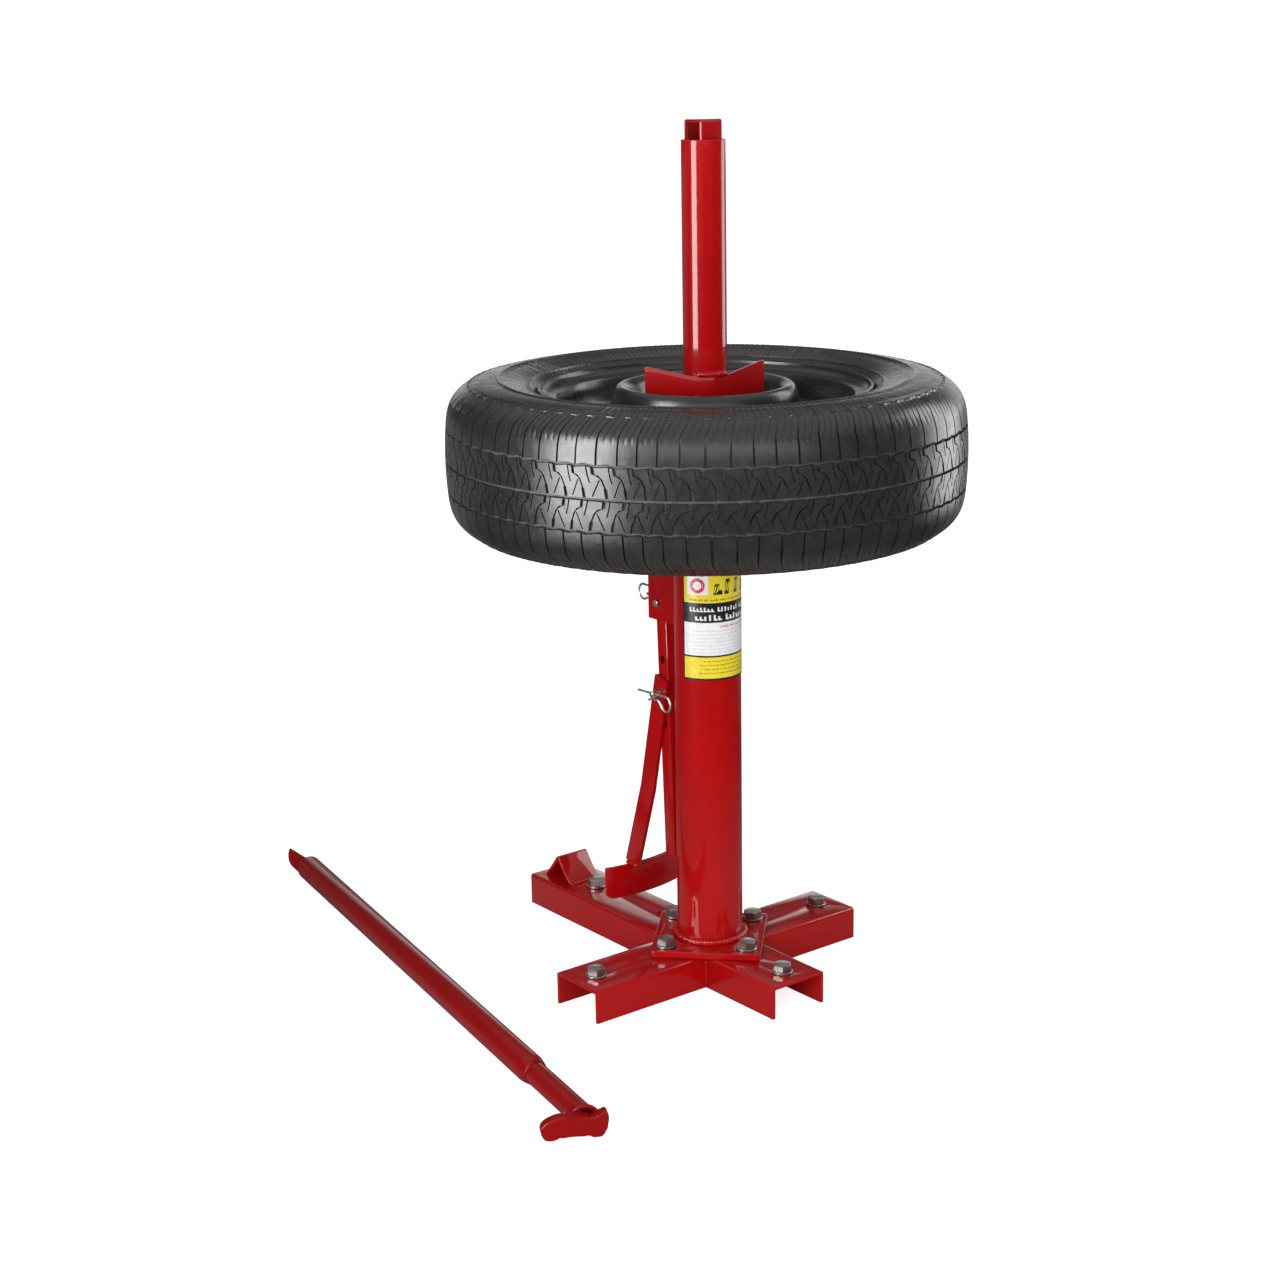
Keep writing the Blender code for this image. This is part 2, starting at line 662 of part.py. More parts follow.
# ---------------------------------------------------------------- bead breaker
def breaker_bracket():
    """A channel whose walls run back to the column, hollowed to stand against it."""
    outer = BRACKET_INNER + BRACKET_WALL
    inside_column = -COLUMN_RADIUS + 0.010
    plan = [
        (BRACKET_REACH, outer), (BRACKET_REACH, BRACKET_INNER), (BRACKET_WEB, BRACKET_INNER),
        (BRACKET_WEB, -BRACKET_INNER), (BRACKET_REACH, -BRACKET_INNER), (BRACKET_REACH, -outer),
        (inside_column, -outer), (inside_column, outer),
    ]
    mesh = outline_mesh([plan], BRACKET_TOP - BRACKET_BOTTOM)
    middle = (BRACKET_BOTTOM + BRACKET_TOP) / 2
    bracket = piece("breaker_bracket", mesh, ENAMEL, location=(0, 0, middle))
    column = rod_mesh(COLUMN_RADIUS + GAP, 0.2, 96)
    boolean(bracket, cutter("bracket_saddle", column, location=(0, 0, middle)))
    boolean(bracket, cutter("bracket_pin_hole", rod_mesh(PIN_HOLE, 0.1, axis="Y"), location=PIVOT))


def breaker_arm():
    corner = 0.0025

    def oblong(width, depth, radius):
        x, y = width / 2, depth / 2
        return rounded([(x, y, radius), (-x, y, radius), (-x, -y, radius), (x, -y, radius)], 2)

    bore = oblong(ARM_WIDTH - 2 * ARM_WALL, ARM_DEPTH - 2 * ARM_WALL, corner / 2)
    mesh = outline_mesh([oblong(ARM_WIDTH, ARM_DEPTH, corner), bore], ARM_ABOVE + ARM_BELOW)
    centre = (ARM_ABOVE - ARM_BELOW) / 2
    mesh.transform(Matrix.Translation((0, 0, centre)))
    arm = piece("breaker_arm", mesh, ENAMEL, ARM_PIVOT)
    for number, drop in enumerate((0,) + ARM_HOLES, 1):
        hole = rod_mesh(PIN_HOLE, 0.1, 18, axis="Y")
        boolean(arm, cutter(f"arm_hole_{number}", hole, ARM_PIVOT, (0, 0, -drop)))


def pin(name, parent, head_y, far_y, clip_y, clip_tilt):
    """A headed pin along Y from its parent empty; the cross hole at clip_y takes the hairpin."""
    toward = 1 if far_y > head_y else -1
    length = abs(far_y - head_y)
    chamfer = 0.001
    profile = [
        (0, length), (PIN_RADIUS - chamfer, length), (PIN_RADIUS, length - chamfer),
        (PIN_RADIUS, PIN_HEAD_LENGTH), (PIN_HEAD_RADIUS, PIN_HEAD_LENGTH), (PIN_HEAD_RADIUS, 0), (0, 0),
    ]
    obj = turned(name, profile, PLATED, parent, (0, head_y, 0), steps=20, closed=False)
    obj.rotation_euler = (-toward * pi / 2, 0, 0)
    hole = rod_mesh(CLIP_WIRE + GAP, 0.03, 12, axis="X")
    boolean(obj, cutter(f"{name}_cross_hole", hole, parent, (0, clip_y, 0), (0, clip_tilt, 0)))


def hairpin_line(reach, tail):
    """A hairpin in its own XZ plane: a straight leg through the pin at zero, a coil hanging at its
    end, and a short leg that comes back and bows under the pin."""
    turns = [pi / 2 - CLIP_SWEEP * k / CLIP_TURNS for k in range(CLIP_TURNS + 1)]
    coil = [(reach + CLIP_LOOP * cos(turn), CLIP_LOOP * (sin(turn) - 1)) for turn in turns]
    bow = [
        (reach - CLIP_LOOP * 1.25, -CLIP_LOOP), (PIN_RADIUS, -CLIP_UNDER_PIN), (0, -CLIP_UNDER_PIN - GAP),
        (-PIN_RADIUS, -CLIP_UNDER_PIN), (-CLIP_SHORT_TAIL, -CLIP_LOOP),
    ]
    return [(-tail, 0)] + coil + bow


def hairpin(name, parent, y, tilt, line):
    curve = bpy.data.curves.new(name, "CURVE")
    curve.dimensions = "3D"
    curve.bevel_depth = CLIP_WIRE
    curve.bevel_resolution = 2
    curve.use_fill_caps = True
    spline = curve.splines.new("POLY")
    spline.points.add(len(line) - 1)
    for point, (x, z) in zip(spline.points, line):
        point.co = (x, 0, z, 1)
    obj = bpy.data.objects.new(name, curve)
    PARTS.objects.link(obj)
    mesh = solid_of(obj, weld=True)
    piece(name, mesh, PLATED, parent, (0, y, 0), (0, tilt, 0))


def breaker_pins():
    """The pivot pin's clip is on its far side and points outward; the link pin's is on the near side."""
    bracket_face = BRACKET_INNER + BRACKET_WALL
    clip_y = bracket_face + GAP + CLIP_WIRE + 0.003
    head_y = -bracket_face - GAP - PIN_HEAD_LENGTH
    pin("pivot_pin", PIVOT_REST, head_y, clip_y + PIN_PAST_CLIP, clip_y, PIVOT_CLIP_TILT)
    line = [(-x, z) for x, z in hairpin_line(PIVOT_CLIP_REACH, PIVOT_CLIP_TAIL)]
    hairpin("pivot_clip", PIVOT_REST, clip_y, PIVOT_CLIP_TILT, line)
    link_face = LINK_Y - LINK_THICK / 2
    clip_y = link_face - GAP - CLIP_WIRE - 0.006
    head_y = ARM_DEPTH / 2 + 2 * GAP + PIN_HEAD_LENGTH
    pin("link_pin", LINK_PIVOT, head_y, clip_y - PIN_PAST_CLIP, clip_y, LINK_CLIP_TILT)
    hairpin("link_clip", LINK_PIVOT, clip_y, LINK_CLIP_TILT, hairpin_line(LINK_CLIP_REACH, LINK_CLIP_TAIL))


def breaker_link():
    points = [(x - LINK_PIN_PLACE.x, z - LINK_PIN_PLACE.z) for x, z in LINK_LINE]
    mesh = outline_mesh([band(points, LINK_WIDTH), circle(PIN_HOLE)], LINK_THICK)
    mesh.transform(Matrix.Rotation(pi / 2, 4, "X"))
    link = piece("breaker_link", mesh, ENAMEL, LINK_PIVOT, (0, LINK_Y, 0))
    floor_z = SHOE_TOP + GAP - LINK_PIN_PLACE.z
    below = box_mesh((0.2, 0.1, 0.1), (-0.05, 0, floor_z - 0.05))
    boolean(link, cutter("link_foot_cut", below, LINK_PIVOT))


def breaker_shoe():
    """A plate curved in plan, bulging toward the column, with its lower corners rounded off."""
    centre_x = SHOE_APEX - SHOE_BEND
    span = [y / SHOE_BEND for y in SHOE_Y]
    steps = 12
    angles = [span[0] + (span[1] - span[0]) * k / steps for k in range(steps + 1)]
    line = [(centre_x + SHOE_BEND * cos(a), SHOE_BEND * sin(a)) for a in angles]
    height = SHOE_TOP - SHOE_BOTTOM
    mesh = outline_mesh([band(line, SHOE_THICK)], height)
    middle = (SHOE_TOP + SHOE_BOTTOM) / 2
    mesh.transform(Matrix.Translation((0, 0, middle)) @ Matrix.Translation(-LINK_PIN_PLACE))
    shoe = piece("breaker_shoe", mesh, ENAMEL, LINK_PIVOT)
    low, high = SHOE_Y
    face = rounded([
        (low, SHOE_BOTTOM, SHOE_CORNER), (high, SHOE_BOTTOM, SHOE_CORNER),
        (high, SHOE_TOP + 0.01, 0), (low, SHOE_TOP + 0.01, 0),
    ])
    keep = outline_mesh([face], 0.12)
    stand = Matrix.Rotation(pi / 2, 4, "Z") @ Matrix.Rotation(pi / 2, 4, "X")
    keep.transform(Matrix.Translation((SHOE_APEX, 0, 0)) @ stand)
    boolean(shoe, cutter("shoe_face", keep), "INTERSECT")


# ---------------------------------------------------------------- label
def column_label():
    inner = COLUMN_RADIUS + GAP
    steps = 24
    angles = [-LABEL_HALF_ANGLE + 2 * LABEL_HALF_ANGLE * k / steps for k in range(steps + 1)]
    middle = inner + LABEL_THICK / 2
    line = [(middle * cos(a), middle * sin(a)) for a in angles]
    mesh = outline_mesh([band(line, LABEL_THICK)], LABEL_Z[1] - LABEL_Z[0])
    piece("column_label", mesh, STICKER, location=(0, 0, sum(LABEL_Z) / 2))


# ---------------------------------------------------------------- mount bar
def along_bar(obj):
    """Turns a piece made about Z so that its Z runs along the bar."""
    obj.rotation_euler = (0, pi / 2, 0)
    return obj


def bar_tube():
    inner = BAR_RADIUS - BAR_WALL
    profile = [
        (inner + GAP, BAR_END), (BAR_RADIUS, BAR_END - BAR_CRIMP), (BAR_RADIUS, BAR_START),
        (inner, BAR_START), (inner, BAR_END),
    ]
    along_bar(turned("bar_tube", profile, ENAMEL, BAR, steps=32))


def bar_neck():
    profile = tube_profile(NECK_RADIUS, NECK_RADIUS - NECK_WALL, NECK_START, NECK_END)
    along_bar(turned("bar_neck", profile, ENAMEL, BAR, steps=28))


def pry_tip():
    """A flat tongue with a slanting round end, its narrower root inside the tube."""
    shoulder = BAR_START - GAP
    outline = rounded([
        (-0.0095, 0.0010, 0.0012), (0.0146, -0.0107, 0.0120), (0.0340, -0.0139, 0.0300),
        (shoulder, -0.0135, 0),
        (shoulder, -TONGUE_ROOT, 0), (TONGUE_END, -TONGUE_ROOT, 0), (TONGUE_END, TONGUE_ROOT, 0),
        (shoulder, TONGUE_ROOT, 0), (0.0360, 0.0061, 0.0300),
    ])
    mesh = outline_mesh([outline], TONGUE_THICK)
    mesh.transform(Matrix.Rotation(TONGUE_ROLL, 4, "X") @ Matrix.Translation((0, 0, -TONGUE_DROP)))
    piece("pry_tip", mesh, ENAMEL, BAR)


def mount_head():
    """The hooked head across the neck: a thick round toe, a hollowed underside and an upswept heel."""
    low = 0.0004 - BAR_AXIS_Z
    outline = rounded([
        (-0.0400, low, 0.0060), (-0.0293, low + 0.0040, 0.0100), (-0.0021, low + 0.0030, 0.0100),
        (0.0105, low, 0.0040), (0.0200, low + 0.0105, 0.0080), (0.0210, low + 0.0240, 0.0020),
        (0.0178, low + 0.0268, 0.0020), (0.0080, low + 0.0200, 0.0060), (0.0010, low + 0.0205, 0.0060),
        (-0.0050, low + 0.0232, 0.0100), (-0.0320, low + 0.0232, 0.0100), (-0.0470, low + 0.0165, 0.0060),
        (-0.0500, low + 0.0060, 0.0050),
    ])
    mesh = outline_mesh([outline], HEAD_THICK)
    mesh.transform(Matrix.Rotation(pi / 2, 4, "Z") @ Matrix.Rotation(pi / 2, 4, "X"))
    head = piece("mount_head", mesh, ENAMEL, BAR, (HEAD_PLACE, 0, 0), (0, 0, HEAD_YAW))
    edge = head.modifiers.new("edges", "BEVEL")
    edge.width = HEAD_EDGE
    edge.segments = 2
    edge.limit_method = "ANGLE"
    edge.angle_limit = radians(50)


# ---------------------------------------------------------------- assembly
def build():
    long_leg()
    cross_leg()
    base_plate()
    fasteners("plate", around(PLATE_BOLT_PLACE, 4), PLATE_TOP, PLATE_BOLT_LENGTH, LEG_HEIGHT - LEG_WALL)
    fasteners("leg", LEG_BOLTS, LEG_HEIGHT, LEG_BOLT_LENGTH)
    rim_stop()
    column_tube()
    wheel_plate()
    post_spacer()
    centre_post()
    drive_pin()
    clamp_tube()
    clamp_foot()
    tyre()
    rim_barrel()
    valve_stem()
    wheel_disc()
    breaker_bracket()
    breaker_arm()
    breaker_pins()
    breaker_link()
    breaker_shoe()
    column_label()
    bar_tube()
    bar_neck()
    pry_tip()
    mount_head()


build()
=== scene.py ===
"""Looks for the manual tire changer: enamelled steel, a treaded tyre, fasteners, welds and a label."""

import json
from math import cos, hypot, pi, radians, sin

import bmesh
import bpy
import numpy as np
from mathutils import Matrix, Vector

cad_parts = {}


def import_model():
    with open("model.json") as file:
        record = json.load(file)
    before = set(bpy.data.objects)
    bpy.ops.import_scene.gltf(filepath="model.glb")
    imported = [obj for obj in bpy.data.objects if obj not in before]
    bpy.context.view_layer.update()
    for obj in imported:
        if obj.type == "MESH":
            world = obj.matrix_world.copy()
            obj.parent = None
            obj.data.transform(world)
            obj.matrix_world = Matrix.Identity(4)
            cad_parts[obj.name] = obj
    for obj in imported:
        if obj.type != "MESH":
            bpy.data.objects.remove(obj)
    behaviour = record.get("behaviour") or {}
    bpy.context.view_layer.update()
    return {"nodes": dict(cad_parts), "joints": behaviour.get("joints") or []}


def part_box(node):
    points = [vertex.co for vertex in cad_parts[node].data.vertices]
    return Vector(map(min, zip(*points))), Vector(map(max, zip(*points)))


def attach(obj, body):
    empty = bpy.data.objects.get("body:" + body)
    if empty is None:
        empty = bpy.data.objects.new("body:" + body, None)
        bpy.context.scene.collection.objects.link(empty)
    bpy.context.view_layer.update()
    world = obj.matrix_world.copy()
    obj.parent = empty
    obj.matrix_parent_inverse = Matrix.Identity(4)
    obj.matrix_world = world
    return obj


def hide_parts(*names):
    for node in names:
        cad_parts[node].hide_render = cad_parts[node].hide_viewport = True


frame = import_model()

# ---- places, taken from the frame
GAP = 0.0003


def middle(node):
    low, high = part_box(node)
    return (low + high) / 2


def size(node):
    low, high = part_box(node)
    return high - low


COLUMN = middle("column_tube")
WHEEL = middle("tyre")
BAR_TURN = radians(-10.33)
BAR_TIP = (-0.6428, -0.1998, 0.0162)
# The tread's plan, as distances from the tyre's centre line measured over its surface.
CROWN = 0.2885
CENTRE_GROOVE = 0.0017
RIB_END = 0.0325
SHOULDER_START = 0.0359
OUTER_GROOVE = (RIB_END + SHOULDER_START) / 2
SHOULDER_END = 0.0885
GROOVE_DEPTH = 0.0046
SLOT_EDGE = 0.00022
PITCHES = 78
WEAR_BARS = 6


def spot(x, y, z):
    """A point given about the column's axis on the floor."""
    return Vector((COLUMN.x + x, COLUMN.y + y, z))


# ---- shader building
class Nodes:
    """Shorthand calls for building a node tree."""

    def __init__(self, tree):
        self.tree = tree

    def node(self, kind, **settings):
        made = self.tree.nodes.new(kind)
        for key, value in settings.items():
            setattr(made, key, value)
        return made

    def feed(self, socket, value):
        if isinstance(value, bpy.types.NodeSocket):
            self.tree.links.new(value, socket)
        else:
            socket.default_value = value

    def fill(self, made, **inputs):
        """Feeds a node's inputs by name, with underscores for spaces."""
        for key, value in inputs.items():
            self.feed(made.inputs[key.replace("_", " ")], value)
        return made

    def built(self, kind, values, **settings):
        """A node with its first inputs fed in order."""
        made = self.node(kind, **settings)
        for socket, value in zip(made.inputs, values):
            self.feed(socket, value)
        return made

    def span(self, value, low, high, to_low, to_high):
        return self.built("ShaderNodeMapRange", (value, low, high, to_low, to_high)).outputs["Result"]

    def mix(self, factor, first, second):
        mixed = self.node("ShaderNodeMix", data_type="RGBA")
        for index, value in ((0, factor), (6, first), (7, second)):
            self.feed(mixed.inputs[index], value)
        return mixed.outputs[2]

    def math(self, operation, first, second=0.0):
        return self.built("ShaderNodeMath", (first, second), operation=operation).outputs[0]

    def product(self, first, second):
        return self.math("MULTIPLY", first, second)

    def vector(self, operation, first, second):
        """A difference as a vector; a dot product or a distance as a number."""
        made = self.built("ShaderNodeVectorMath", (first, second), operation=operation)
        return made.outputs["Vector" if operation == "SUBTRACT" else "Value"]

    def parts(self, vector):
        return self.built("ShaderNodeSeparateXYZ", (vector,)).outputs


class Shader(Nodes):
    """A Principled material made of procedural nodes."""

    def __init__(self, name):
        self.material = bpy.data.materials.new(name)
        self.material.use_nodes = True
        super().__init__(self.material.node_tree)
        self.main = self.tree.nodes["Principled BSDF"]
        self.place = self.node("ShaderNodeTexCoord").outputs["Object"]

    def set(self, **inputs):
        self.fill(self.main, **inputs)

    def noise(self, scale, detail=3.0, stretch=(1, 1, 1)):
        mapped = self.fill(self.node("ShaderNodeMapping"), Vector=self.place, Scale=stretch).outputs[0]
        noise = self.node("ShaderNodeTexNoise")
        self.fill(noise, Vector=mapped, Scale=scale, Detail=detail, Roughness=0.55)
        return noise.outputs["Fac"]

    def cloud(self, scale, detail, low=0.0, high=1.0):
        """Noise spread between two values."""
        return self.span(self.noise(scale, detail), 0.3, 0.7, low, high)

    def bump(self, height, strength, distance, under=None):
        made = self.fill(self.node("ShaderNodeBump"), Height=height, Strength=strength, Distance=distance)
        if under is not None:
            self.fill(made, Normal=under)
        return made.outputs["Normal"]

    def edges(self, low, high):
        """0 on flat ground, 1 along convex edges."""
        geometry = self.node("ShaderNodeNewGeometry")
        return self.span(geometry.outputs["Pointiness"], low, high, 0.0, 1.0)


# ---- materials
def grey(value):
    return (value, value, value, 1)


def red_enamel(name, depth, gloss):
    """Sprayed enamel: slight colour drift, dust nibs, orange peel, and thinner paint on the edges; depth
    scales the red, and a depth below 1 is painted shade.
    """
    s = Shader(name)
    dark = (0.40 * depth, 0.0020, 0.0028, 1)
    light = (0.45 * depth, 0.0028, 0.0040, 1)
    colour = s.mix(s.cloud(9, 4), dark, light)
    specks = s.span(s.noise(420, 2), 0.68, 0.74, 0.0, 0.30)
    colour = s.mix(specks, colour, (0.30 * depth, 0.0030, 0.0045, 1))
    worn = s.product(s.edges(0.56, 0.64), s.span(s.noise(120, 4), 0.50, 0.66, 0.0, 0.35))
    colour = s.mix(worn, colour, (0.45 * depth, 0.012, 0.014, 1))
    peel = s.bump(s.noise(260, 2), 0.05, 0.0004)
    s.set(Base_Color=colour, Roughness=s.cloud(35, 5, 0.30, 0.42), Normal=peel)
    s.set(IOR=1.45, Specular_IOR_Level=0.05, Coat_Weight=gloss, Coat_IOR=1.5, Coat_Normal=peel)
    s.set(Coat_Roughness=s.cloud(14, 4, 0.04, 0.08))
    return s.material


def zinc(name, shade):
    """Zinc plating: grey metal with a faint warm cast, cloudy sheen and fine scratches."""
    s = Shader(name)
    dark = (0.56 * shade, 0.55 * shade, 0.53 * shade, 1)
    light = (0.76 * shade, 0.75 * shade, 0.72 * shade, 1)
    dirt = s.span(s.noise(700, 3), 0.60, 0.72, 0.0, 0.6)
    colour = s.mix(dirt, s.mix(s.cloud(160, 5), dark, light), (0.20, 0.185, 0.165, 1))
    scratch = s.bump(s.noise(900, 3, stretch=(1, 1, 0.12)), 0.18, 0.0002)
    s.set(Base_Color=colour, Metallic=1.0, Roughness=s.cloud(300, 4, 0.26, 0.46), Normal=scratch)
    return s.material


def sunken(s, radius, height):
    """How much dust and painted light lighten the three long grooves, and where the floors of the cross
    slots lie.
    """
    centre = s.span(height, CENTRE_GROOVE, CENTRE_GROOVE - 0.0003, 0.0, 1.0)
    from_outer = s.math("ABSOLUTE", s.math("SUBTRACT", height, OUTER_GROOVE))
    outer = s.span(from_outer, 0.0030, 0.0024, 0.0, 1.0)
    deep = s.span(radius, CROWN - 0.0032, CROWN - 0.0040, 0.0, 1.0)
    dust_and_light = s.product(s.math("MAXIMUM", s.product(centre, 0.60), s.product(outer, 0.22)), deep)
    crown_drop = s.product(s.product(height, height), 1.3)
    floor = s.span(s.math("ADD", radius, crown_drop), CROWN - 0.0008, CROWN - 0.0020, 0.0, 1.0)
    return dust_and_light, s.product(floor, s.span(height, 0.050, 0.054, 1.0, 0.0))


def tyre_rubber():
    """Black rubber: satin on the blocks and sidewalls, dull down in the slots and grooves, where dust and
    painted light that offsets their shade lighten it.
    """
    s = Shader("tyre_rubber")
    x, y, z = s.parts(s.vector("SUBTRACT", s.place, WHEEL))
    radius = s.math("SQRT", s.math("ADD", s.product(x, x), s.product(y, y)))
    dust_and_light, slot_floor = sunken(s, radius, s.math("ABSOLUTE", z))
    colour = s.mix(s.cloud(60, 6), (0.019, 0.0188, 0.0184, 1), (0.028, 0.0276, 0.027, 1))
    # Grey in the long grooves: dust, and painted light against the shade that falls in them.
    colour = s.mix(dust_and_light, colour, (0.30, 0.29, 0.28, 1))
    # Lighter slot floors: painted light that offsets the shade down in the slots, with some dust.
    colour = s.mix(s.product(slot_floor, 0.7), colour, (0.060, 0.059, 0.057, 1))
    dull = s.product(s.math("MAXIMUM", dust_and_light, slot_floor), 0.3)
    rough = s.math("ADD", s.cloud(90, 5, 0.22, 0.34), dull)
    grain = s.bump(s.noise(1100, 3), 0.14, 0.0003)
    streaks = s.bump(s.noise(55, 4, stretch=(1, 1, 0.15)), 0.15, 0.0010, grain)
    s.set(Base_Color=colour, Roughness=rough, Normal=streaks, IOR=1.5, Specular_IOR_Level=0.65)
    return s.material


def valve_rubber():
    s = Shader("valve_rubber")
    colour = s.mix(s.noise(240, 4), grey(0.012), grey(0.030))
    s.set(Base_Color=colour, Roughness=s.cloud(300, 3, 0.5, 0.7))
    s.set(Normal=s.bump(s.noise(1500, 2), 0.2, 0.0002))
    return s.material


def rim_paint():
    """Dark stoved paint on pressed steel: glossy, a little uneven, rubbed grey along the lips."""
    s = Shader("rim_paint")
    colour = s.mix(s.cloud(22, 5), (0.020, 0.020, 0.0205, 1), (0.034, 0.034, 0.0345, 1))
    rubbed = s.product(s.edges(0.54, 0.62), s.span(s.noise(160, 5), 0.4, 0.6, 0.0, 0.6))
    colour = s.mix(rubbed, colour, grey(0.13))
    press = s.bump(s.noise(190, 3), 0.06, 0.0005)
    s.set(Base_Color=colour, Roughness=s.cloud(70, 5, 0.20, 0.34), Normal=press, IOR=1.55)
    return s.material


def print_ink(name, colour, shade):
    """One ink of the printed label, with print mottle and slightly uneven gloss."""
    s = Shader(name)
    mottled = s.mix(s.span(s.noise(500, 3), 0.35, 0.65, 0.0, 1.0), colour, shade)
    s.set(Base_Color=mottled, Roughness=s.cloud(90, 4, 0.22, 0.38))
    s.set(Normal=s.bump(s.noise(60, 3), 0.08, 0.0006))
    return s.material


# The mount bar's copy of the red enamel, darkened to 0.66 as painted shade, with a thinner coat.
BAR_SHADED_ENAMEL = red_enamel("bar_shaded_enamel", 0.66, 0.45)
DULL_ZINC = zinc("dull_zinc", 0.58)
INKS = {
    "black": print_ink("label_black", (0.015, 0.014, 0.013, 1), (0.022, 0.021, 0.019, 1)),
    "yellow": print_ink("label_yellow", (0.84, 0.66, 0.020, 1), (0.90, 0.74, 0.035, 1)),
    "white": print_ink("label_white", (0.84, 0.83, 0.86, 1), (0.90, 0.89, 0.92, 1)),
    "grey": print_ink("label_grey", (0.55, 0.54, 0.56, 1), (0.64, 0.63, 0.65, 1)),
    "red": print_ink("label_red", (0.62, 0.03, 0.04, 1), (0.70, 0.04, 0.05, 1)),
    "olive": print_ink("label_olive", (0.16, 0.11, 0.012, 1), (0.22, 0.16, 0.020, 1)),
}
SLOTS = {
    "red_enamel": red_enamel("red_enamel", 1.0, 0.90),
    "zinc": zinc("zinc", 1.0),
    "tyre_rubber": tyre_rubber(),
    "valve_rubber": valve_rubber(),
    "rim_paint": rim_paint(),
}


# ---- mesh building
def add(name, mesh, body, slot, stands_for=(), finish=None, sharp=32):
    """Puts a finished mesh in the scene on a CAD body, in place of the CAD nodes it stands for."""
    obj = bpy.data.objects.new(name, mesh)
    bpy.context.scene.collection.objects.link(obj)
    mesh.shade_smooth()
    mesh.set_sharp_from_angle(angle=radians(sharp))
    mesh.materials.clear()
    mesh.materials.append(finish or SLOTS[slot])
    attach(obj, body)
    if stands_for:
        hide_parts(*stands_for)


def saved(bm, name):
    mesh = bpy.data.meshes.new(name)
    bm.to_mesh(mesh)
    bm.free()
    return mesh


def to_mesh(bm, name, matrix=None):
    if matrix is not None:
        bm.transform(matrix)
    bmesh.ops.recalc_face_normals(bm, faces=bm.faces)
    return saved(bm, name)


def grid(points, across=False):
    """Quads over rows of points, each row closed; across joins the last row to the first."""
    points = np.asarray(points, float)
    rows, columns = points.shape[:2]
    row = np.arange(rows if across else rows - 1)[:, None]
    column = np.arange(columns)[None, :]
    next_row, next_column = (row + 1) % rows, (column + 1) % columns
    corners = [row * columns + column, row * columns + next_column]
    corners += [next_row * columns + next_column, next_row * columns + column]
    faces = np.stack([c + 0 * row + 0 * column for c in corners], axis=-1).reshape(-1, 4)
    mesh = bpy.data.meshes.new("grid")
    mesh.from_pydata(points.reshape(-1, 3).tolist(), [], faces.tolist())
    return mesh


def tidy(mesh, matrix=None, weld=1e-6):
    """Closes poles and seams and turns the faces outward."""
    bm = bmesh.new()
    bm.from_mesh(mesh)
    bmesh.ops.remove_doubles(bm, verts=bm.verts, dist=weld)
    bpy.data.meshes.remove(mesh)
    return to_mesh(bm, "tidy", matrix)


def lathe(profile, segments, closed=True):
    """A profile of (radius, z) turned about Z; an open one must start and end on the axis."""
    profile = np.asarray(profile, float)
    angle = np.linspace(0, 2 * pi, segments, endpoint=False)
    radius, height = profile[:, 0][:, None], profile[:, 1][:, None]
    points = np.stack([radius * np.cos(angle), radius * np.sin(angle), height + 0 * angle], axis=-1)
    return tidy(grid(points, across=closed))


def curve_through(points, steps, closed=False):
    """A smooth line through points (Catmull-Rom)."""
    points = [Vector(p) for p in points]
    count = len(points)
    spans = count if closed else count - 1
    line = []
    for i in range(spans):
        if closed:
            a, b, c, d = (points[(i + k) % count] for k in (-1, 0, 1, 2))
        else:
            b, c = points[i], points[i + 1]
            a = points[i - 1] if i else b * 2 - c
            d = points[i + 2] if i + 2 < count else c * 2 - b
        for k in range(steps):
            t = k / steps
            point = 2 * b + (c - a) * t
            point += (2 * a - 5 * b + 4 * c - d) * t * t
            point += (3 * b - a - 3 * c + d) * t ** 3
            line.append(point / 2)
    if not closed:
        line.append(points[-1])
    return line


def thick_line(points, thickness):
    """The closed outline of a sheet of that thickness about an open 2D line."""
    line = [Vector(p) for p in points]
    left, right = [], []
    for i, point in enumerate(line):
        along = (line[min(i + 1, len(line) - 1)] - line[max(i - 1, 0)]).normalized()
        normal = Vector((-along.y, along.x)) * thickness / 2
        left.append(point + normal)
        right.append(point - normal)
    return [tuple(p) for p in left + right[::-1]]


def tube_along(line, radius, sides, closed=False, wobble=None):
    """A round wire or bead along a 3D line; wobble(i) scales the radius at each point."""
    line = [Vector(p) for p in line]
    count = len(line)
    rings = []
    up = Vector((0, 0, 1))
    for i, point in enumerate(line):
        after = line[(i + 1) % count] if closed or i + 1 < count else point
        before = line[i - 1] if closed or i else point
        along = (after - before).normalized()
        side = along.cross(up)
        if side.length < 0.2:
            side = along.cross(Vector((0, 1, 0)))
        side.normalize()
        if rings and side.dot(last_side) < 0:
            side = -side
        last_side = side
        top = side.cross(along).normalized()
        reach = radius * (wobble(i) if wobble else 1)
        angles = [2 * pi * k / sides for k in range(sides)]
        rings.append([point + (side * cos(a) + top * sin(a)) * reach for a in angles])
    if not closed:
        rings = [[line[0]] * sides] + rings + [[line[-1]] * sides]
    return tidy(grid([[tuple(p) for p in ring] for ring in rings], across=closed))


def joined(meshes, name):
    bm = bmesh.new()
    for mesh in meshes:
        bm.from_mesh(mesh)
        bpy.data.meshes.remove(mesh)
    return saved(bm, name)


def moved(mesh, matrix):
    mesh.transform(matrix)
    return mesh


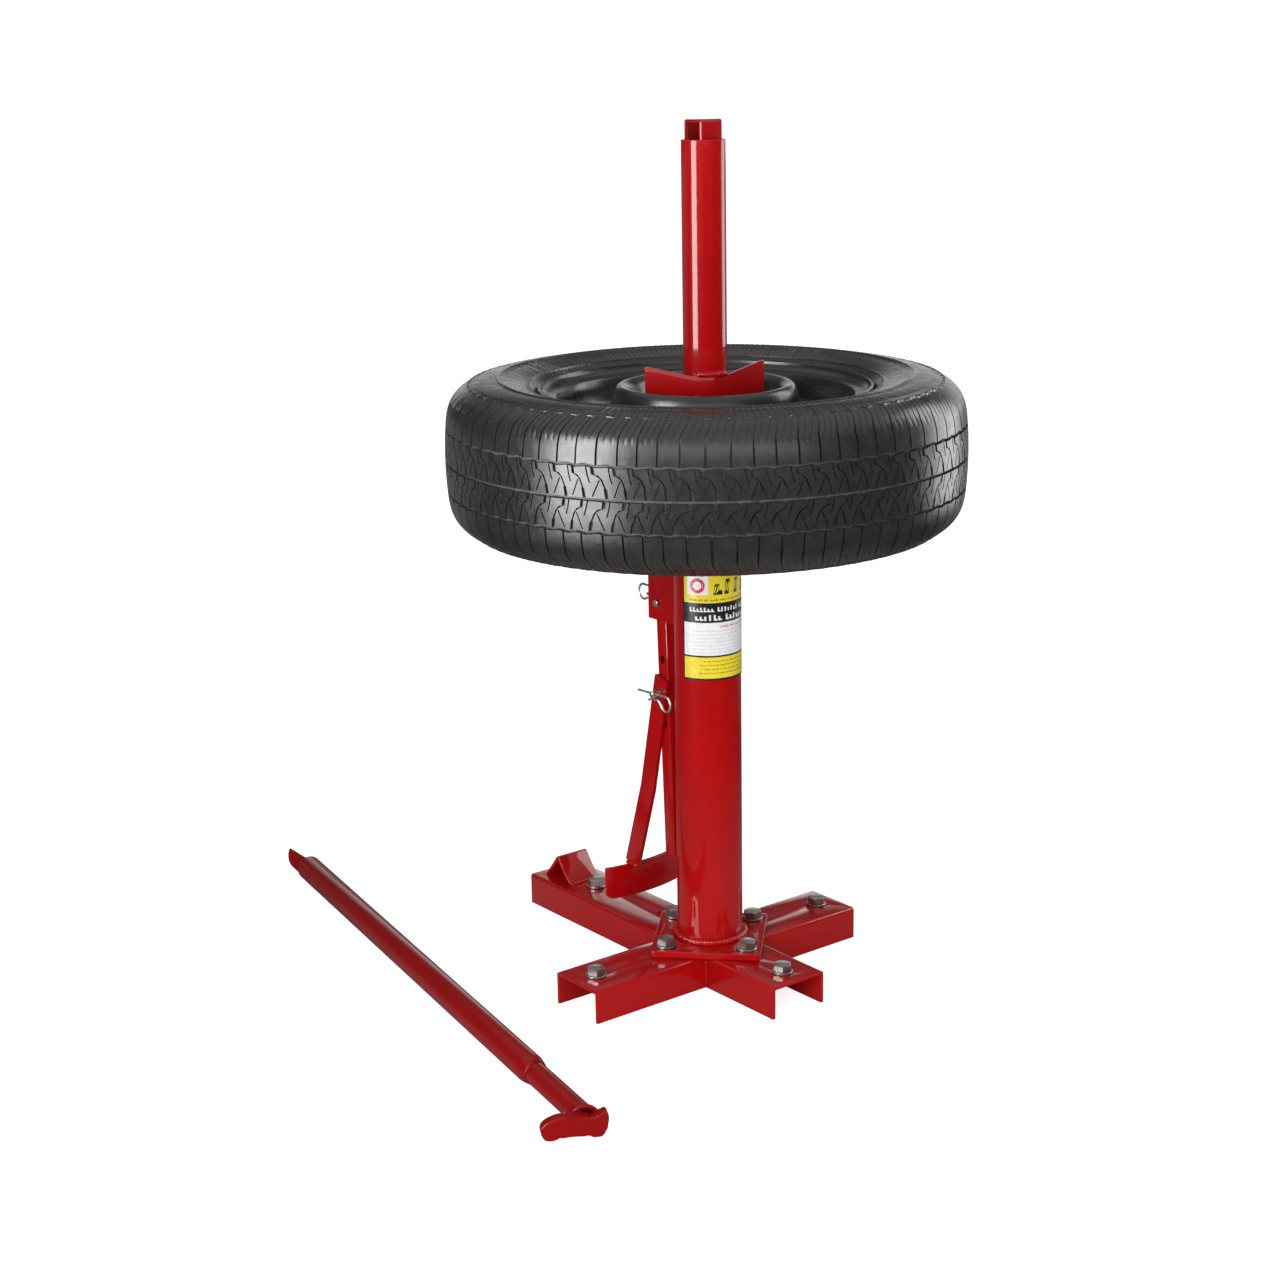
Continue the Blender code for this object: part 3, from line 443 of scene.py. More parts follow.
def refined(node, body, edge, slot="red_enamel"):
    """A CAD node's own shape with clean faces and its sharp edges rounded over."""
    bm = bmesh.new()
    bm.from_mesh(frame["nodes"][node].data)
    bmesh.ops.remove_doubles(bm, verts=bm.verts, dist=1e-6)
    bmesh.ops.dissolve_limit(bm, angle_limit=radians(1), verts=bm.verts, edges=bm.edges)
    sharp = [e for e in bm.edges if len(e.link_faces) == 2 and e.calc_face_angle(0) > radians(38)]
    rounding = {"segments": 2, "profile": 0.6, "affect": "EDGES", "clamp_overlap": True}
    bmesh.ops.bevel(bm, geom=sharp, offset=edge, **rounding)
    add(f"{node}_body", to_mesh(bm, node), body, slot, (node,), sharp=45)


# ---- weld beads
def bead(name, line, radius, body, closed=False, finish=None):
    """A weld bead: overlapping ripples along a line, half sunk in the pieces it joins."""
    ripple = 0.0024
    points = [Vector(p) for p in line]
    length = sum((b - a).length for a, b in zip(points, points[1:]))
    total = 3 * max(1, int(length / ripple))
    spans = len(points) if closed else len(points) - 1
    dense = []
    for k in range(total if closed else total + 1):
        travel = k / total * spans
        i = min(int(travel), spans - 1)
        dense.append(points[i].lerp(points[(i + 1) % len(points)], travel - i))

    def wobble(i):
        fade = 1 if closed else min(1.0, (i + 1) / 3, (len(dense) - i) / 3)
        return fade * (1 + 0.10 * sin(i * 1.9) + 0.06 * sin(i * 0.73 + 1.0))

    mesh = tube_along(dense, radius, 10, closed, wobble)
    add(name, mesh, body, "red_enamel", finish=finish, sharp=80)


def ring_line(radius, z, start=0.0, sweep=2 * pi, count=48):
    steps = count if sweep >= 2 * pi else count + 1
    turns = [start + sweep * k / count for k in range(steps)]
    return [spot(radius * cos(turn), radius * sin(turn), z) for turn in turns]


def frame_welds():
    column = size("column_tube").x / 2 - 0.005
    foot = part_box("column_tube")[0].z
    bead("foot_weld", ring_line(column + 0.0018, foot + 0.0022), 0.0040, "frame", closed=True)
    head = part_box("column_tube")[1].z
    bead("head_weld", ring_line(column + 0.0010, head - 0.0012), 0.0034, "frame", closed=True)
    corner = size("cross_leg").x / 2
    height = size("cross_leg").z
    for number, (i, j) in enumerate(((1, 1), (-1, 1), (-1, -1), (1, -1)), 1):
        x, y = corner * i, corner * j
        bead(f"leg_weld_{number}", [spot(x, y, 0.003), spot(x, y, height - 0.005)], 0.0019, "frame")
    low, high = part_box("breaker_bracket")
    x, y = -0.0352, size("breaker_bracket").y / 2 - 0.0004
    bead("bracket_weld", [spot(x, y, low.z + 0.003), spot(x, y, high.z - 0.003)], 0.0030, "frame")
    low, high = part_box("rim_stop")
    for x, label in ((low.x - 0.0005, "outer"), (high.x + 0.0005, "inner")):
        ends = [Vector((x, low.y + 0.002, low.z + 0.0006)), Vector((x, high.y - 0.002, low.z + 0.0006))]
        bead(f"stop_weld_{label}", ends, 0.0022, "frame")


# ---- fasteners
FLATS = 0.019
HEAD_HEIGHT = 0.0075
SHANK = 0.006


def hex_head(height, hole=0.0):
    """A hexagon with chamfered corners, standing on z = 0, with a hole if it is a nut."""
    flat = FLATS / 2
    angles = np.linspace(0, 2 * pi, 48, endpoint=False)
    edge = flat / np.cos((angles + pi / 6) % (pi / 3) - pi / 6)
    crown = flat * 0.90
    drop = (edge - crown) * 0.5
    rings = [(0 * edge + hole, 0 * edge), (edge, 0 * edge), (edge, height - drop)]
    rings += [(0 * edge + crown, 0 * edge + height), (0 * edge + hole, 0 * edge + height)]
    points = [np.stack([r * np.cos(angles), r * np.sin(angles), z], axis=-1) for r, z in rings]
    return tidy(grid(points, across=hole > 0))


def threaded_rod(radius, top, bottom, thread_from):
    """A shank with rolled threads from thread_from down to its chamfered end."""
    pitch, depth = 0.00175, 0.0009
    profile = [(0, top), (radius, top), (radius, thread_from)]
    count = int((thread_from - bottom) / pitch)
    for k in range(count):
        z = thread_from - k * pitch
        profile += [(radius - depth, z - pitch * 0.5), (radius, z - pitch * 0.9)]
    profile += [(radius - 0.0015, bottom), (0, bottom)]
    return lathe(profile, 40, closed=False)


def on_axis(mesh, node, z):
    """Moves a mesh onto a node's upright axis, at a height."""
    centre = middle(node)
    return moved(mesh, Matrix.Translation((centre.x, centre.y, z)))


def bolt(node):
    """A hexagon bolt in the CAD bolt's place, with a raised ring under its head."""
    low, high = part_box(node)
    centre = (low + high) / 2
    seat = high.z - HEAD_HEIGHT
    turn = 0.4 * sum(ord(letter) for letter in node)
    top = moved(hex_head(HEAD_HEIGHT - 0.0004), Matrix.Translation((0, 0, 0.0004)))
    ring = FLATS * 0.47
    collar = lathe([(0, 0.0006), (ring, 0.0006), (ring, 0), (0, 0)], 40, closed=False)
    shank = threaded_rod(SHANK, 0.001, low.z - seat, -0.012)
    mesh = joined([top, collar, shank], node)
    mesh.transform(Matrix.Translation((centre.x, centre.y, seat)) @ Matrix.Rotation(turn, 4, "Z"))
    dull_steel(node, mesh)


def dull_steel(node, mesh):
    add(f"{node}_steel", mesh, "frame", "zinc", (node,), DULL_ZINC)


def flat_washer(node):
    low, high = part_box(node)
    radius, thick = (high.x - low.x) / 2, high.z - low.z
    hole, edge = 0.0066, 0.0004
    profile = [
        (radius - edge, thick), (radius, thick - edge), (radius, edge), (radius - edge, 0),
        (hole + edge, 0), (hole, edge), (hole, thick - edge), (hole + edge, thick),
    ]
    dull_steel(node, on_axis(lathe(profile, 48), node, low.z))


def hex_nut(node):
    low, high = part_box(node)
    dull_steel(node, on_axis(hex_head(high.z - low.z, 0.0061), node, low.z))


def fasteners():
    for kind in ("plate", "leg"):
        for number in (1, 2, 3, 4):
            bolt(f"{kind}_bolt_{number}")
            flat_washer(f"{kind}_washer_{number}")
    for number in (1, 2, 3, 4):
        hex_nut(f"plate_nut_{number}")
    hex_nut("drive_pin_nut")
    low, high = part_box("drive_pin")
    profile = [(0, high.z), (0.0035, high.z), (0.0052, high.z - 0.001), (SHANK, high.z - 0.0028)]
    profile += [(SHANK, low.z + 0.001), (0.005, low.z), (0, low.z)]
    mesh = on_axis(lathe(profile, 40, closed=False), "drive_pin", 0)
    add("drive_pin_steel", mesh, "frame", "zinc", ("drive_pin",))


# ---- column, post and clamp
def turned_tube(name, node, radius, wall, body):
    """A round tube with eased ends in the CAD tube's place."""
    low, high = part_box(node)
    inner, edge = radius - wall, 0.0006
    profile = [(radius - edge, high.z), (radius, high.z - edge)]
    profile += [(radius, low.z + edge), (radius - edge, low.z)]
    profile += [(inner + edge, low.z), (inner, low.z + edge)]
    profile += [(inner, high.z - edge), (inner + edge, high.z)]
    mesh = moved(lathe(profile, 128), Matrix.Translation(spot(0, 0, 0)))
    add(name, mesh, body, "red_enamel", (node,))


def column_and_post():
    turned_tube("column_steel", "column_tube", size("column_tube").x / 2 - 0.005, 0.0035, "frame")
    turned_tube("clamp_sleeve", "clamp_tube", size("clamp_tube").x / 2, 0.003, "clamp")
    refined("centre_post", "frame", 0.0007)
    refined("clamp_foot", "clamp", 0.0007)
    facing = radians(-20.8)
    reach = radians(38)
    ring = size("clamp_tube").x / 2 + 0.0022
    bead("clamp_weld", ring_line(ring, 0.7082, facing - reach, 2 * reach, 24), 0.0034, "clamp")


# ---- pins and hairpin clips
def headed_pin(node, body, place_at, toward):
    """A clevis pin along Y with a domed head."""
    length, radius, head = size(node).y, 0.0038, 0.0044
    profile = [(0, length), (radius - 0.001, length), (radius, length - 0.001), (radius, 0.003)]
    profile += [(head - 0.0003, 0.003), (head, 0.0025), (head - 0.0002, 0.0008)]
    profile += [(head - 0.0010, 0.0001), (0, 0)]
    turn = Matrix.Rotation(-toward * pi / 2, 4, "X")
    mesh = moved(lathe(profile, 40, closed=False), Matrix.Translation(place_at) @ turn)
    add(f"{node}_steel", mesh, body, "zinc", (node,))


def hairpin(node, body, pin, tilt, reach, tail, flip):
    """A sprung clip: a straight leg through the pin, a coil under its end, a leg bowed under the pin."""
    wire, loop, under, short_tail = 0.0014, 0.009, 0.0065, 0.0115
    turns = [pi / 2 - radians(240) * k / 14 for k in range(15)]
    line = [(-tail, 0), (-tail * 0.5, 0), (reach * 0.5, 0)]
    line += [(reach + loop * cos(turn), loop * (sin(turn) - 1)) for turn in turns]
    line += [(reach - loop * 1.25, -loop), (0.0045, -under), (0, -under - 0.0003), (-0.0045, -under)]
    line += [(-short_tail, -loop)]
    path = curve_through([Vector((flip * x, 0, z)) for x, z in line], 4)
    mesh = tube_along(path, wire, 12)
    pin_at = Vector((pin.x, middle(node).y, pin.z))
    mesh.transform(Matrix.Translation(pin_at) @ Matrix.Rotation(tilt, 4, "Y"))
    add(f"{node}_wire", mesh, body, "zinc", (node,), sharp=80)


def joint_place(name):
    return next(Vector(j["pos_m"]) for j in frame["joints"] if j["name"] == name)


def pins():
    pivot = joint_place("breaker_arm_swing")
    link = joint_place("breaker_link_swing")
    headed_pin("pivot_pin", "frame", Vector((pivot.x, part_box("pivot_pin")[0].y, pivot.z)), 1)
    headed_pin("link_pin", "breaker_link", Vector((link.x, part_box("link_pin")[1].y, link.z)), -1)
    hairpin("pivot_clip", "frame", pivot, tilt=radians(2), reach=0.0743, tail=0.016, flip=-1)
    hairpin("link_clip", "breaker_link", link, tilt=radians(-2.5), reach=0.0198, tail=0.031, flip=1)


# ---- bead breaker
def breaker():
    refined("breaker_bracket", "frame", 0.0008)
    refined("breaker_arm", "breaker_arm", 0.0003)
    refined("breaker_link", "breaker_link", 0.0008)
    refined("breaker_shoe", "breaker_link", 0.0009)
    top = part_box("breaker_shoe")[1].z + 0.0006
    link_y = middle("breaker_link").y
    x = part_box("breaker_link")[0].x
    for side, label in ((1, "right"), (-1, "left")):
        y = link_y + side * 0.0026
        line = [Vector((x + 0.002, y, top)), Vector((x + 0.024, y, top))]
        bead(f"shoe_weld_{label}", line, 0.0024, "breaker_link")


# ---- wheel
RIM_LINE = [
    (0.1832, 0.0735), (0.1827, 0.0708), (0.1812, 0.0680), (0.1785, 0.0655), (0.1750, 0.0641),
    (0.1700, 0.0637), (0.1655, 0.0628), (0.1638, 0.0600), (0.1632, 0.0520), (0.1622, 0.0400),
    (0.1600, 0.0360), (0.1545, 0.0290), (0.1512, 0.0240), (0.1500, 0.0200),
]


def rim_barrel():
    """The rolled rim: curled flanges, bead seats and a dropped well."""
    line = RIM_LINE + [(0.1500, 0.0)] + [(r, -z) for r, z in reversed(RIM_LINE)]
    section = thick_line(line, 0.0029)
    mesh = moved(lathe(section, 160), Matrix.Translation(WHEEL))
    add("rim_barrel_steel", mesh, "wheel", "rim_paint", ("rim_barrel",), sharp=40)


DISC_FLOOR = 0.0506
VENTS = 12
VENT_TURN = radians(7)
VENT_PLACE = 0.1255


def punch(radius, sides):
    """An upright cutter for a hole in the disc."""
    return lathe([(0, 0.03), (radius, 0.03), (radius, -0.03), (0, -0.03)], sides, closed=False)


def wheel_disc():
    """The pressed centre: seat, raised ring, ribbed slope with oval vents, and a skirt in the well."""
    drops = [
        (0.0300, 0.0), (0.0520, 0.0), (0.0700, 0.0), (0.0765, 0.0032), (0.0815, 0.0115), (0.0860, 0.0190),
        (0.0915, 0.0226), (0.0965, 0.0216), (0.1000, 0.0140), (0.1020, 0.0035), (0.1060, -0.0060),
        (0.1150, -0.0135), (0.1270, -0.0215), (0.1390, -0.0290), (0.1450, -0.0350), (0.1462, -0.0420),
        (0.1462, -0.0590),
    ]
    line = [(radius, DISC_FLOOR + drop) for radius, drop in drops]
    disc = lathe(thick_line(curve_through(line, 4), 0.0038), 192)
    turns = [VENT_TURN + 2 * pi * k / VENTS for k in range(VENTS)]
    cutters = []
    for turn in turns:
        oval = moved(punch(0.0082, 28), Matrix.Diagonal((1.0, 1.5, 1.0, 1)))
        at = Matrix.Rotation(turn, 4, "Z") @ Matrix.Translation((VENT_PLACE, 0, DISC_FLOOR - 0.02))
        cutters.append(moved(oval, at))
    for k in range(4):
        turn = Matrix.Rotation(radians(142) + pi / 2 * k, 4, "Z")
        cutters.append(moved(punch(0.0071, 32), turn @ Matrix.Translation((0.05, 0, DISC_FLOOR))))
    mesh = carved(disc, joined(cutters, "holes"))
    mesh = joined([mesh] + [raised_ring(0.0118, 0.0013, 1.45, turn) for turn in turns], "disc")
    mesh.transform(Matrix.Translation(WHEEL))
    add("wheel_disc_steel", mesh, "wheel", "rim_paint", ("wheel_disc",), sharp=40)


def disc_height(radius):
    """The top face of the disc's slope at a radius."""
    slope = (0.0290 - 0.0060) / (0.1390 - 0.1060)
    return DISC_FLOOR - 0.0060 - (radius - 0.1060) * slope + 0.0022


def raised_ring(radius, wire, stretch, angle):
    """The rolled lip round one vent, lying on the disc's slope."""
    line = []
    for k in range(32):
        turn = 2 * pi * k / 32
        x, y = VENT_PLACE + radius * 0.86 * cos(turn), radius * stretch * sin(turn)
        line.append(Vector((x, y, disc_height(hypot(x, y)))))
    mesh = tube_along(line, wire * 1.6, 8, closed=True)
    return moved(mesh, Matrix.Rotation(angle, 4, "Z"))


def carved(mesh, tool_mesh):
    """Cuts tool_mesh out of mesh and returns the result."""
    target = bpy.data.objects.new("target", mesh)
    tool = bpy.data.objects.new("tool", tool_mesh)
    for obj in (target, tool):
        bpy.context.scene.collection.objects.link(obj)
    cut = target.modifiers.new("cut", "BOOLEAN")
    cut.operation = "DIFFERENCE"
    cut.object = tool
    bpy.context.view_layer.update()
    graph = bpy.context.evaluated_depsgraph_get()
    result = bpy.data.meshes.new_from_object(target.evaluated_get(graph))
    for obj in (target, tool):
        bpy.data.objects.remove(obj)
    return result


def valve():
    """A snap-in stem with a ridged base and a knurled cap."""
    profile = [(0, 0.0335), (0.0030, 0.0335), (0.0040, 0.0325), (0.0040, 0.0225), (0.0033, 0.0220)]
    profile += [(0.0033, 0.0180)]
    for k in range(5):
        z = 0.0170 - 0.0032 * k
        profile += [(0.0052 + 0.0002 * k, z), (0.0049 + 0.0002 * k, z - 0.0016)]
    profile += [(0.0058, -0.003), (0.0050, -0.005), (0, -0.005)]
    turn, lean = radians(150), radians(-57)
    at = WHEEL + Vector((0.156 * cos(turn), 0.156 * sin(turn), 0.031))
    matrix = Matrix.Translation(at) @ Matrix.Rotation(turn, 4, "Z") @ Matrix.Rotation(lean, 4, "Y")
    mesh = moved(lathe(profile, 32, closed=False), matrix)
    add("valve_stem_rubber", mesh, "wheel", "valve_rubber", ("valve_stem",))


# The tyre's outer section from the crown's centre to the bead heel, as (radius, height).
TYRE_SECTION = [
    (0.2885, 0.0000), (0.2882, 0.0150), (0.2874, 0.0300), (0.2860, 0.0450), (0.2836, 0.0560),
    (0.2788, 0.0656), (0.2715, 0.0732), (0.2620, 0.0788), (0.2500, 0.0830), (0.2360, 0.0852),
    (0.2230, 0.0848), (0.2100, 0.0820), (0.1990, 0.0778), (0.1915, 0.0738), (0.1872, 0.0692),
    (0.1848, 0.0655), (0.1800, 0.0622), (0.1720, 0.0603), (0.1664, 0.0590),
]
# A rib's slots on the upper half: place in pitches, half width and depth against the share of
# the way from the centre groove to the outer one. The lower half has them turned half round.
SHORT_SIPE = (
    ((0.0, -0.82), (0.33, -0.78), (0.50, -0.75), (0.73, -0.855), (1.0, -0.935)),
    ((0.0, 0.0006), (1.0, 0.0006)),
    ((0.0, 0.0), (0.50, 0.0), (0.53, 0.0026), (1.0, 0.0026)),
)
LONG_SIPE = (
    ((0.0, -0.66), (0.05, -0.64), (0.60, -0.33), (0.70, -0.50), (0.74, -0.57), (0.78, -0.74), (1.0, -0.78)),
    ((0.0, 0.0006), (0.60, 0.0006), (0.70, 0.0003), (1.0, 0.0003)),
    ((0.0, 0.0), (0.05, 0.0), (0.07, 0.0026), (0.57, 0.0026), (0.60, 0.0), (1.0, 0.0)),
)
HOOKED_SLOT = (
    ((0.0, 0.0), (0.10, -0.02), (0.34, -0.08), (0.62, -0.24), (0.74, -0.43), (0.78, -0.61), (1.0, -0.66)),
    ((0.0, 0.0017), (0.30, 0.0016), (0.34, 0.0007), (0.68, 0.0008), (0.74, 0.0018), (0.80, 0.0017)),
    ((0.0, 0.0042), (1.0, 0.0042)),
)
RIB_TURN = -0.79
RIB_SHARES = (
    0.0, 0.05, 0.07, 0.18, 0.30, 0.34, 0.42, 0.50, 0.53, 0.57,
    0.60, 0.64, 0.68, 0.72, 0.74, 0.76, 0.78, 0.80, 0.90, 1.0,
)
SHOULDER_DEPTH = (
    (SHOULDER_START, 0.0042), (0.058, 0.0040), (0.066, 0.0022), (0.074, 0.0009), (0.0885, 0.0005),
)
SHOULDER_WIDTH = ((SHOULDER_START, 0.00095), (0.060, 0.00085), (0.0885, 0.0007))
SHOULDER_LEAN = ((0.0640, 0.0), (0.0885, 0.34))


def knots(x, pairs):
    return float(np.interp(x, *zip(*pairs)))


def tyre_curve():
    """Dense outer section with its arc lengths and outward normals."""
    line = np.array([tuple(p) for p in curve_through(TYRE_SECTION, 12)])
    steps = np.hypot(*np.diff(line, axis=0).T)
    arc = np.concatenate([[0], np.cumsum(steps)])
    tangent = np.gradient(line, arc, axis=0)
    normal = np.stack([tangent[:, 1], -tangent[:, 0]], axis=-1)
    return arc, line, normal / np.linalg.norm(normal, axis=1)[:, None]


def sidewall_relief(s):
    """Raised rings on the sidewall: shoulder line, fine lines, a sharp middle ring and the rim guard."""
    rings = (
        (0.0905, 0.0013, 0.0009), (0.0950, 0.0005, 0.0004), (0.0975, 0.0005, 0.0004),
        (0.1230, 0.0016, 0.0008), (0.1270, 0.0004, 0.0004), (0.1570, 0.0020, 0.0012),
    )
    return sum(height * np.exp(-((s - at) / width) ** 2) for at, height, width in rings)


def pitch_angles(places):
    """Angles for places counted in pitches, which come in three lengths to keep the tread quiet."""
    lengths = np.random.default_rng(7).choice((0.90, 1.00, 1.10), PITCHES)
    lengths *= 2 * pi / lengths.sum()
    starts = np.concatenate([[0], np.cumsum(lengths)[:-1]])
    whole = np.floor(places).astype(int)
    turn = whole % PITCHES
    return starts[turn] + (places - whole) * lengths[turn] + 2 * pi * (whole // PITCHES)


def slots(s, side):
    """A pitch's three slots at s, in order round the tyre, as (place, half width, depth)."""
    if s <= OUTER_GROOVE:
        share = np.clip((s - CENTRE_GROOVE) / (RIB_END - CENTRE_GROOVE), 0, 1)
        if side > 0:
            upper = (SHORT_SIPE, LONG_SIPE, HOOKED_SLOT)
            return [tuple(knots(share, line) for line in slot) for slot in upper]
        turned = []
        for slot, shift in ((LONG_SIPE, -1), (SHORT_SIPE, -1), (HOOKED_SLOT, 0)):
            place_at, wide, deep = (knots(1 - share, line) for line in slot)
            turned.append((RIB_TURN + shift - place_at, wide, deep))
        return turned
    lean = knots(s, SHOULDER_LEAN)
    slot = (knots(s, SHOULDER_WIDTH), knots(s, SHOULDER_DEPTH))
    faint = (0.0005, knots(s, ((0.062, 0.0), (0.068, 0.0006), (0.0885, 0.0004))))
    if side > 0:
        return [(-1.17 + lean, *faint), (-0.83 + lean, *faint), (-0.50 + lean, *slot)]
    return [(-1.26 + lean, *slot), (-0.94 + lean, *faint), (-0.62 + lean, *faint)]


def tread_rows(side):
    """Distances from the centre, outward, with the groove depth of each row."""
    edge, floor = 0.0005, GROOVE_DEPTH
    rows = [(0.0, floor), (CENTRE_GROOVE - edge, floor)]
    rib = RIB_END - CENTRE_GROOVE
    shares = RIB_SHARES if side > 0 else [1 - share for share in RIB_SHARES[::-1]]
    rows += [(CENTRE_GROOVE + rib * share, 0) for share in shares]
    rows += [(RIB_END + edge, floor), (SHOULDER_START - edge, floor), (SHOULDER_START, 0)]
    sidewall = [*np.linspace(0.0400, 0.0600, 5), *np.linspace(0.0640, 0.0840, 6)]
    sidewall += [SHOULDER_END, 0.0895, 0.0900, 0.0905, 0.0910, 0.0920]
    sidewall += [0.0943, 0.0950, 0.0957, 0.0968, 0.0975, 0.0982, 0.1010, *np.linspace(0.106, 0.1205, 4)]
    sidewall += [0.1220, 0.1226, 0.1230, 0.1234, 0.1240, 0.1263, 0.1270, 0.1277]
    sidewall += [*np.linspace(0.1320, 0.1520, 5), 0.1545, 0.1560, 0.1570, 0.1580, 0.1600]
    return rows + [(s, 0) for s in sidewall]


def tyre():
    """One closed skin: tread blocks and slots, sidewalls with rings, beads and the inner face."""
    arc, line, normal = tyre_curve()
    end = arc[-1]
    pitch = 2 * pi * CROWN / PITCHES

    def ring(s, side, groove, inset=0.0):
        found = slots(s, side)
        spots = []
        for i, (at, wide, deep) in enumerate(found):
            wide, edge = wide / pitch, SLOT_EDGE / pitch
            after, next_wide = found[(i + 1) % 3][:2]
            after += 1 if i == 2 else 0
            halfway = (at + wide + after - next_wide / pitch) / 2
            spots += [(at - wide - edge, 0), (at - wide, deep)]
            spots += [(at + wide, deep), (at + wide + edge, 0), (halfway, 0)]
        across = np.array([at for at, _ in spots])
        places = (np.arange(PITCHES)[:, None] + across[None, :]).reshape(-1)
        angle = pitch_angles(places)
        bar = np.exp(-((np.abs((angle * WEAR_BARS / pi) % 2 - 1) / (0.016 * WEAR_BARS / pi)) ** 4))
        floor = groove - (0.0017 * bar if groove else 0)
        depth = np.maximum(floor, np.tile([deep for _, deep in spots], PITCHES)) + inset
        near_groove = np.exp(-((s - OUTER_GROOVE) / 0.0035) ** 2)
        zigzag = 0.0012 * (2 * np.abs(2 * (places % 1) - 1) - 1) * near_groove
        steps = 0.0010 * np.tanh(4 * np.sin(2 * pi * places)) * np.exp(-((s - 0.0905) / 0.0014) ** 2)
        along = np.clip(s + zigzag + steps, 0, end)
        radius = np.interp(along, arc, line[:, 0])
        height = np.interp(along, arc, line[:, 1])
        nr = np.interp(along, arc, normal[:, 0])
        nz = np.interp(along, arc, normal[:, 1])
        lift = (sidewall_relief(s) if s > SHOULDER_END else 0) - depth
        radius, height = radius + nr * lift, height + nz * lift
        return np.stack([radius * np.cos(angle), radius * np.sin(angle), side * height], axis=-1)

    bead_rows = [(s, 0) for s in np.linspace(0.1650, end, 9)]
    upper = [ring(s, 1, groove) for s, groove in tread_rows(1) + bead_rows]
    lower = [ring(s, -1, groove) for s, groove in tread_rows(-1)[1:] + bead_rows]
    steps = (0.97, 0.85, 0.7, 0.5, 0.35)
    inside = [ring(end * step, 1, 0, 0.0095) for step in steps]
    inside += [ring(end * step, -1, 0, 0.0095) for step in steps[::-1]]
    points = np.array(upper[::-1] + lower + inside[::-1])
    mesh = tidy(grid(points, across=True), Matrix.Translation(WHEEL), 1e-7)
    add("tyre_rubber_body", mesh, "wheel", "tyre_rubber", ("tyre",), sharp=28)


# ---- label
def label():
    """A printed band round the column: colour panels, blocks for the text lines, a plain ring badge."""
    radius = size("column_label").y / 2
    low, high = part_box("column_label")
    half_turn = radians(84.4)
    inks = {name: bmesh.new() for name in INKS}

    def patch(ink, a0, a1, z0, z1, level, lean=0.0):
        """A thin curved panel; level says how many ink layers lie under it, lean slants its ends."""
        bm = inks[ink]
        inner, outer = radius - 0.0004, radius + 0.00004 * level
        steps = max(1, int((a1 - a0) / radians(3)))
        rings = []
        for k in range(steps + 1):
            a = a0 + (a1 - a0) * k / steps
            corners = ((inner, z0, a), (outer, z0, a), (outer, z1, a + lean), (inner, z1, a + lean))
            points = [spot(r * cos(turn), r * sin(turn), z) for r, z, turn in corners]
            rings.append([bm.verts.new(point) for point in points])
        for first, second in zip(rings, rings[1:]):
            for i in range(4):
                bm.faces.new((first[i], first[(i + 1) % 4], second[(i + 1) % 4], second[i]))
        bm.faces.new(rings[0][::-1])
        bm.faces.new(rings[-1])

    def text(ink, a0, a1, z0, z1, level, seed, lean=0.0):
        """A text line as words of small upright blocks, with no letters."""
        rng = np.random.default_rng(seed)
        stem = (z1 - z0) / radius * 0.34
        a = a0
        while a < a1 - stem:
            for _ in range(rng.integers(3, 8)):
                top = z1 - (z1 - z0) * rng.choice((0.0, 0.0, 0.28))
                patch(ink, a, a + stem, z0, top, level, lean)
                if rng.random() < 0.6:
                    patch(ink, a + stem, a + stem * 1.9, z0, z0 + (z1 - z0) * 0.3, level)
                a += stem * 2.3
                if a > a1:
                    break
            a += stem * 1.8

    def badge(a, z, outer, inner):
        """A plain ring, as short flat panels in rows."""
        rows = 14
        for i in range(rows):
            y0, y1 = (-outer + 2 * outer * k / rows for k in (i, i + 1))
            at = (y0 + y1) / 2
            far = (outer * outer - at * at) ** 0.5 / radius
            near = (inner * inner - at * at) ** 0.5 / radius if abs(at) < inner else 0.0
            patch("red", a - far, a - near, z + y0, z + y1, 4)
            patch("red", a + near, a + far, z + y0, z + y1, 4)

    edge = 0.058
    left, right = edge - half_turn, half_turn - edge
    patch("black", -half_turn, half_turn, low.z, high.z, 1)
    patch("yellow", left, right, low.z + 0.0024, 0.392, 2)
    patch("white", left, right, 0.394, 0.432, 2)
    patch("yellow", left, right, 0.4546, high.z - 0.004, 2)
    for i in range(4):
        z = 0.3728 + 0.0046 * i
        text("olive", -0.95 + 0.15 * (i % 2), 1.1, z, z + 0.0016, 3, 11 + i)
    for i in range(7):
        z = 0.3965 + 0.0042 * i
        text("grey", -1.15, 1.2 - 0.12 * (i % 3), z, z + 0.0016, 3, 31 + i)
    text("red", -0.30, 1.0, 0.4262, 0.4286, 3, 5)
    text("white", -1.05, 1.2, 0.4345, 0.4412, 3, 4)
    text("white", -1.22, 1.2, 0.4445, 0.4498, 3, 3)
    text("olive", -1.25, 1.25, 0.4572, 0.4594, 3, 8)
    patch("white", -1.30, -0.66, 0.4640, 0.4890, 3)
    badge(-0.98, 0.4745, 0.0085, 0.0048)
    text("black", -0.52, 1.3, 0.4640, 0.4810, 3, 9, lean=0.05)
    for ink, bm in inks.items():
        mesh = to_mesh(bm, f"label_{ink}")
        stands_for = ("column_label",) if ink == "black" else ()
        add(f"label_{ink}", mesh, "frame", "label_film", stands_for, INKS[ink], sharp=50)


# ---- mount bar
HEAD_PLACE = 0.9015
HEAD_THICK = 0.0138
HEAD_YAW = radians(-18)


def bar_matrix():
    """Local +X runs along the bar from its pry tip, on the tube's axis."""
    return Matrix.Translation(spot(*BAR_TIP)) @ Matrix.Rotation(BAR_TURN, 4, "Z")


def along_bar(mesh):
    return moved(mesh, Matrix.Rotation(pi / 2, 4, "Y"))


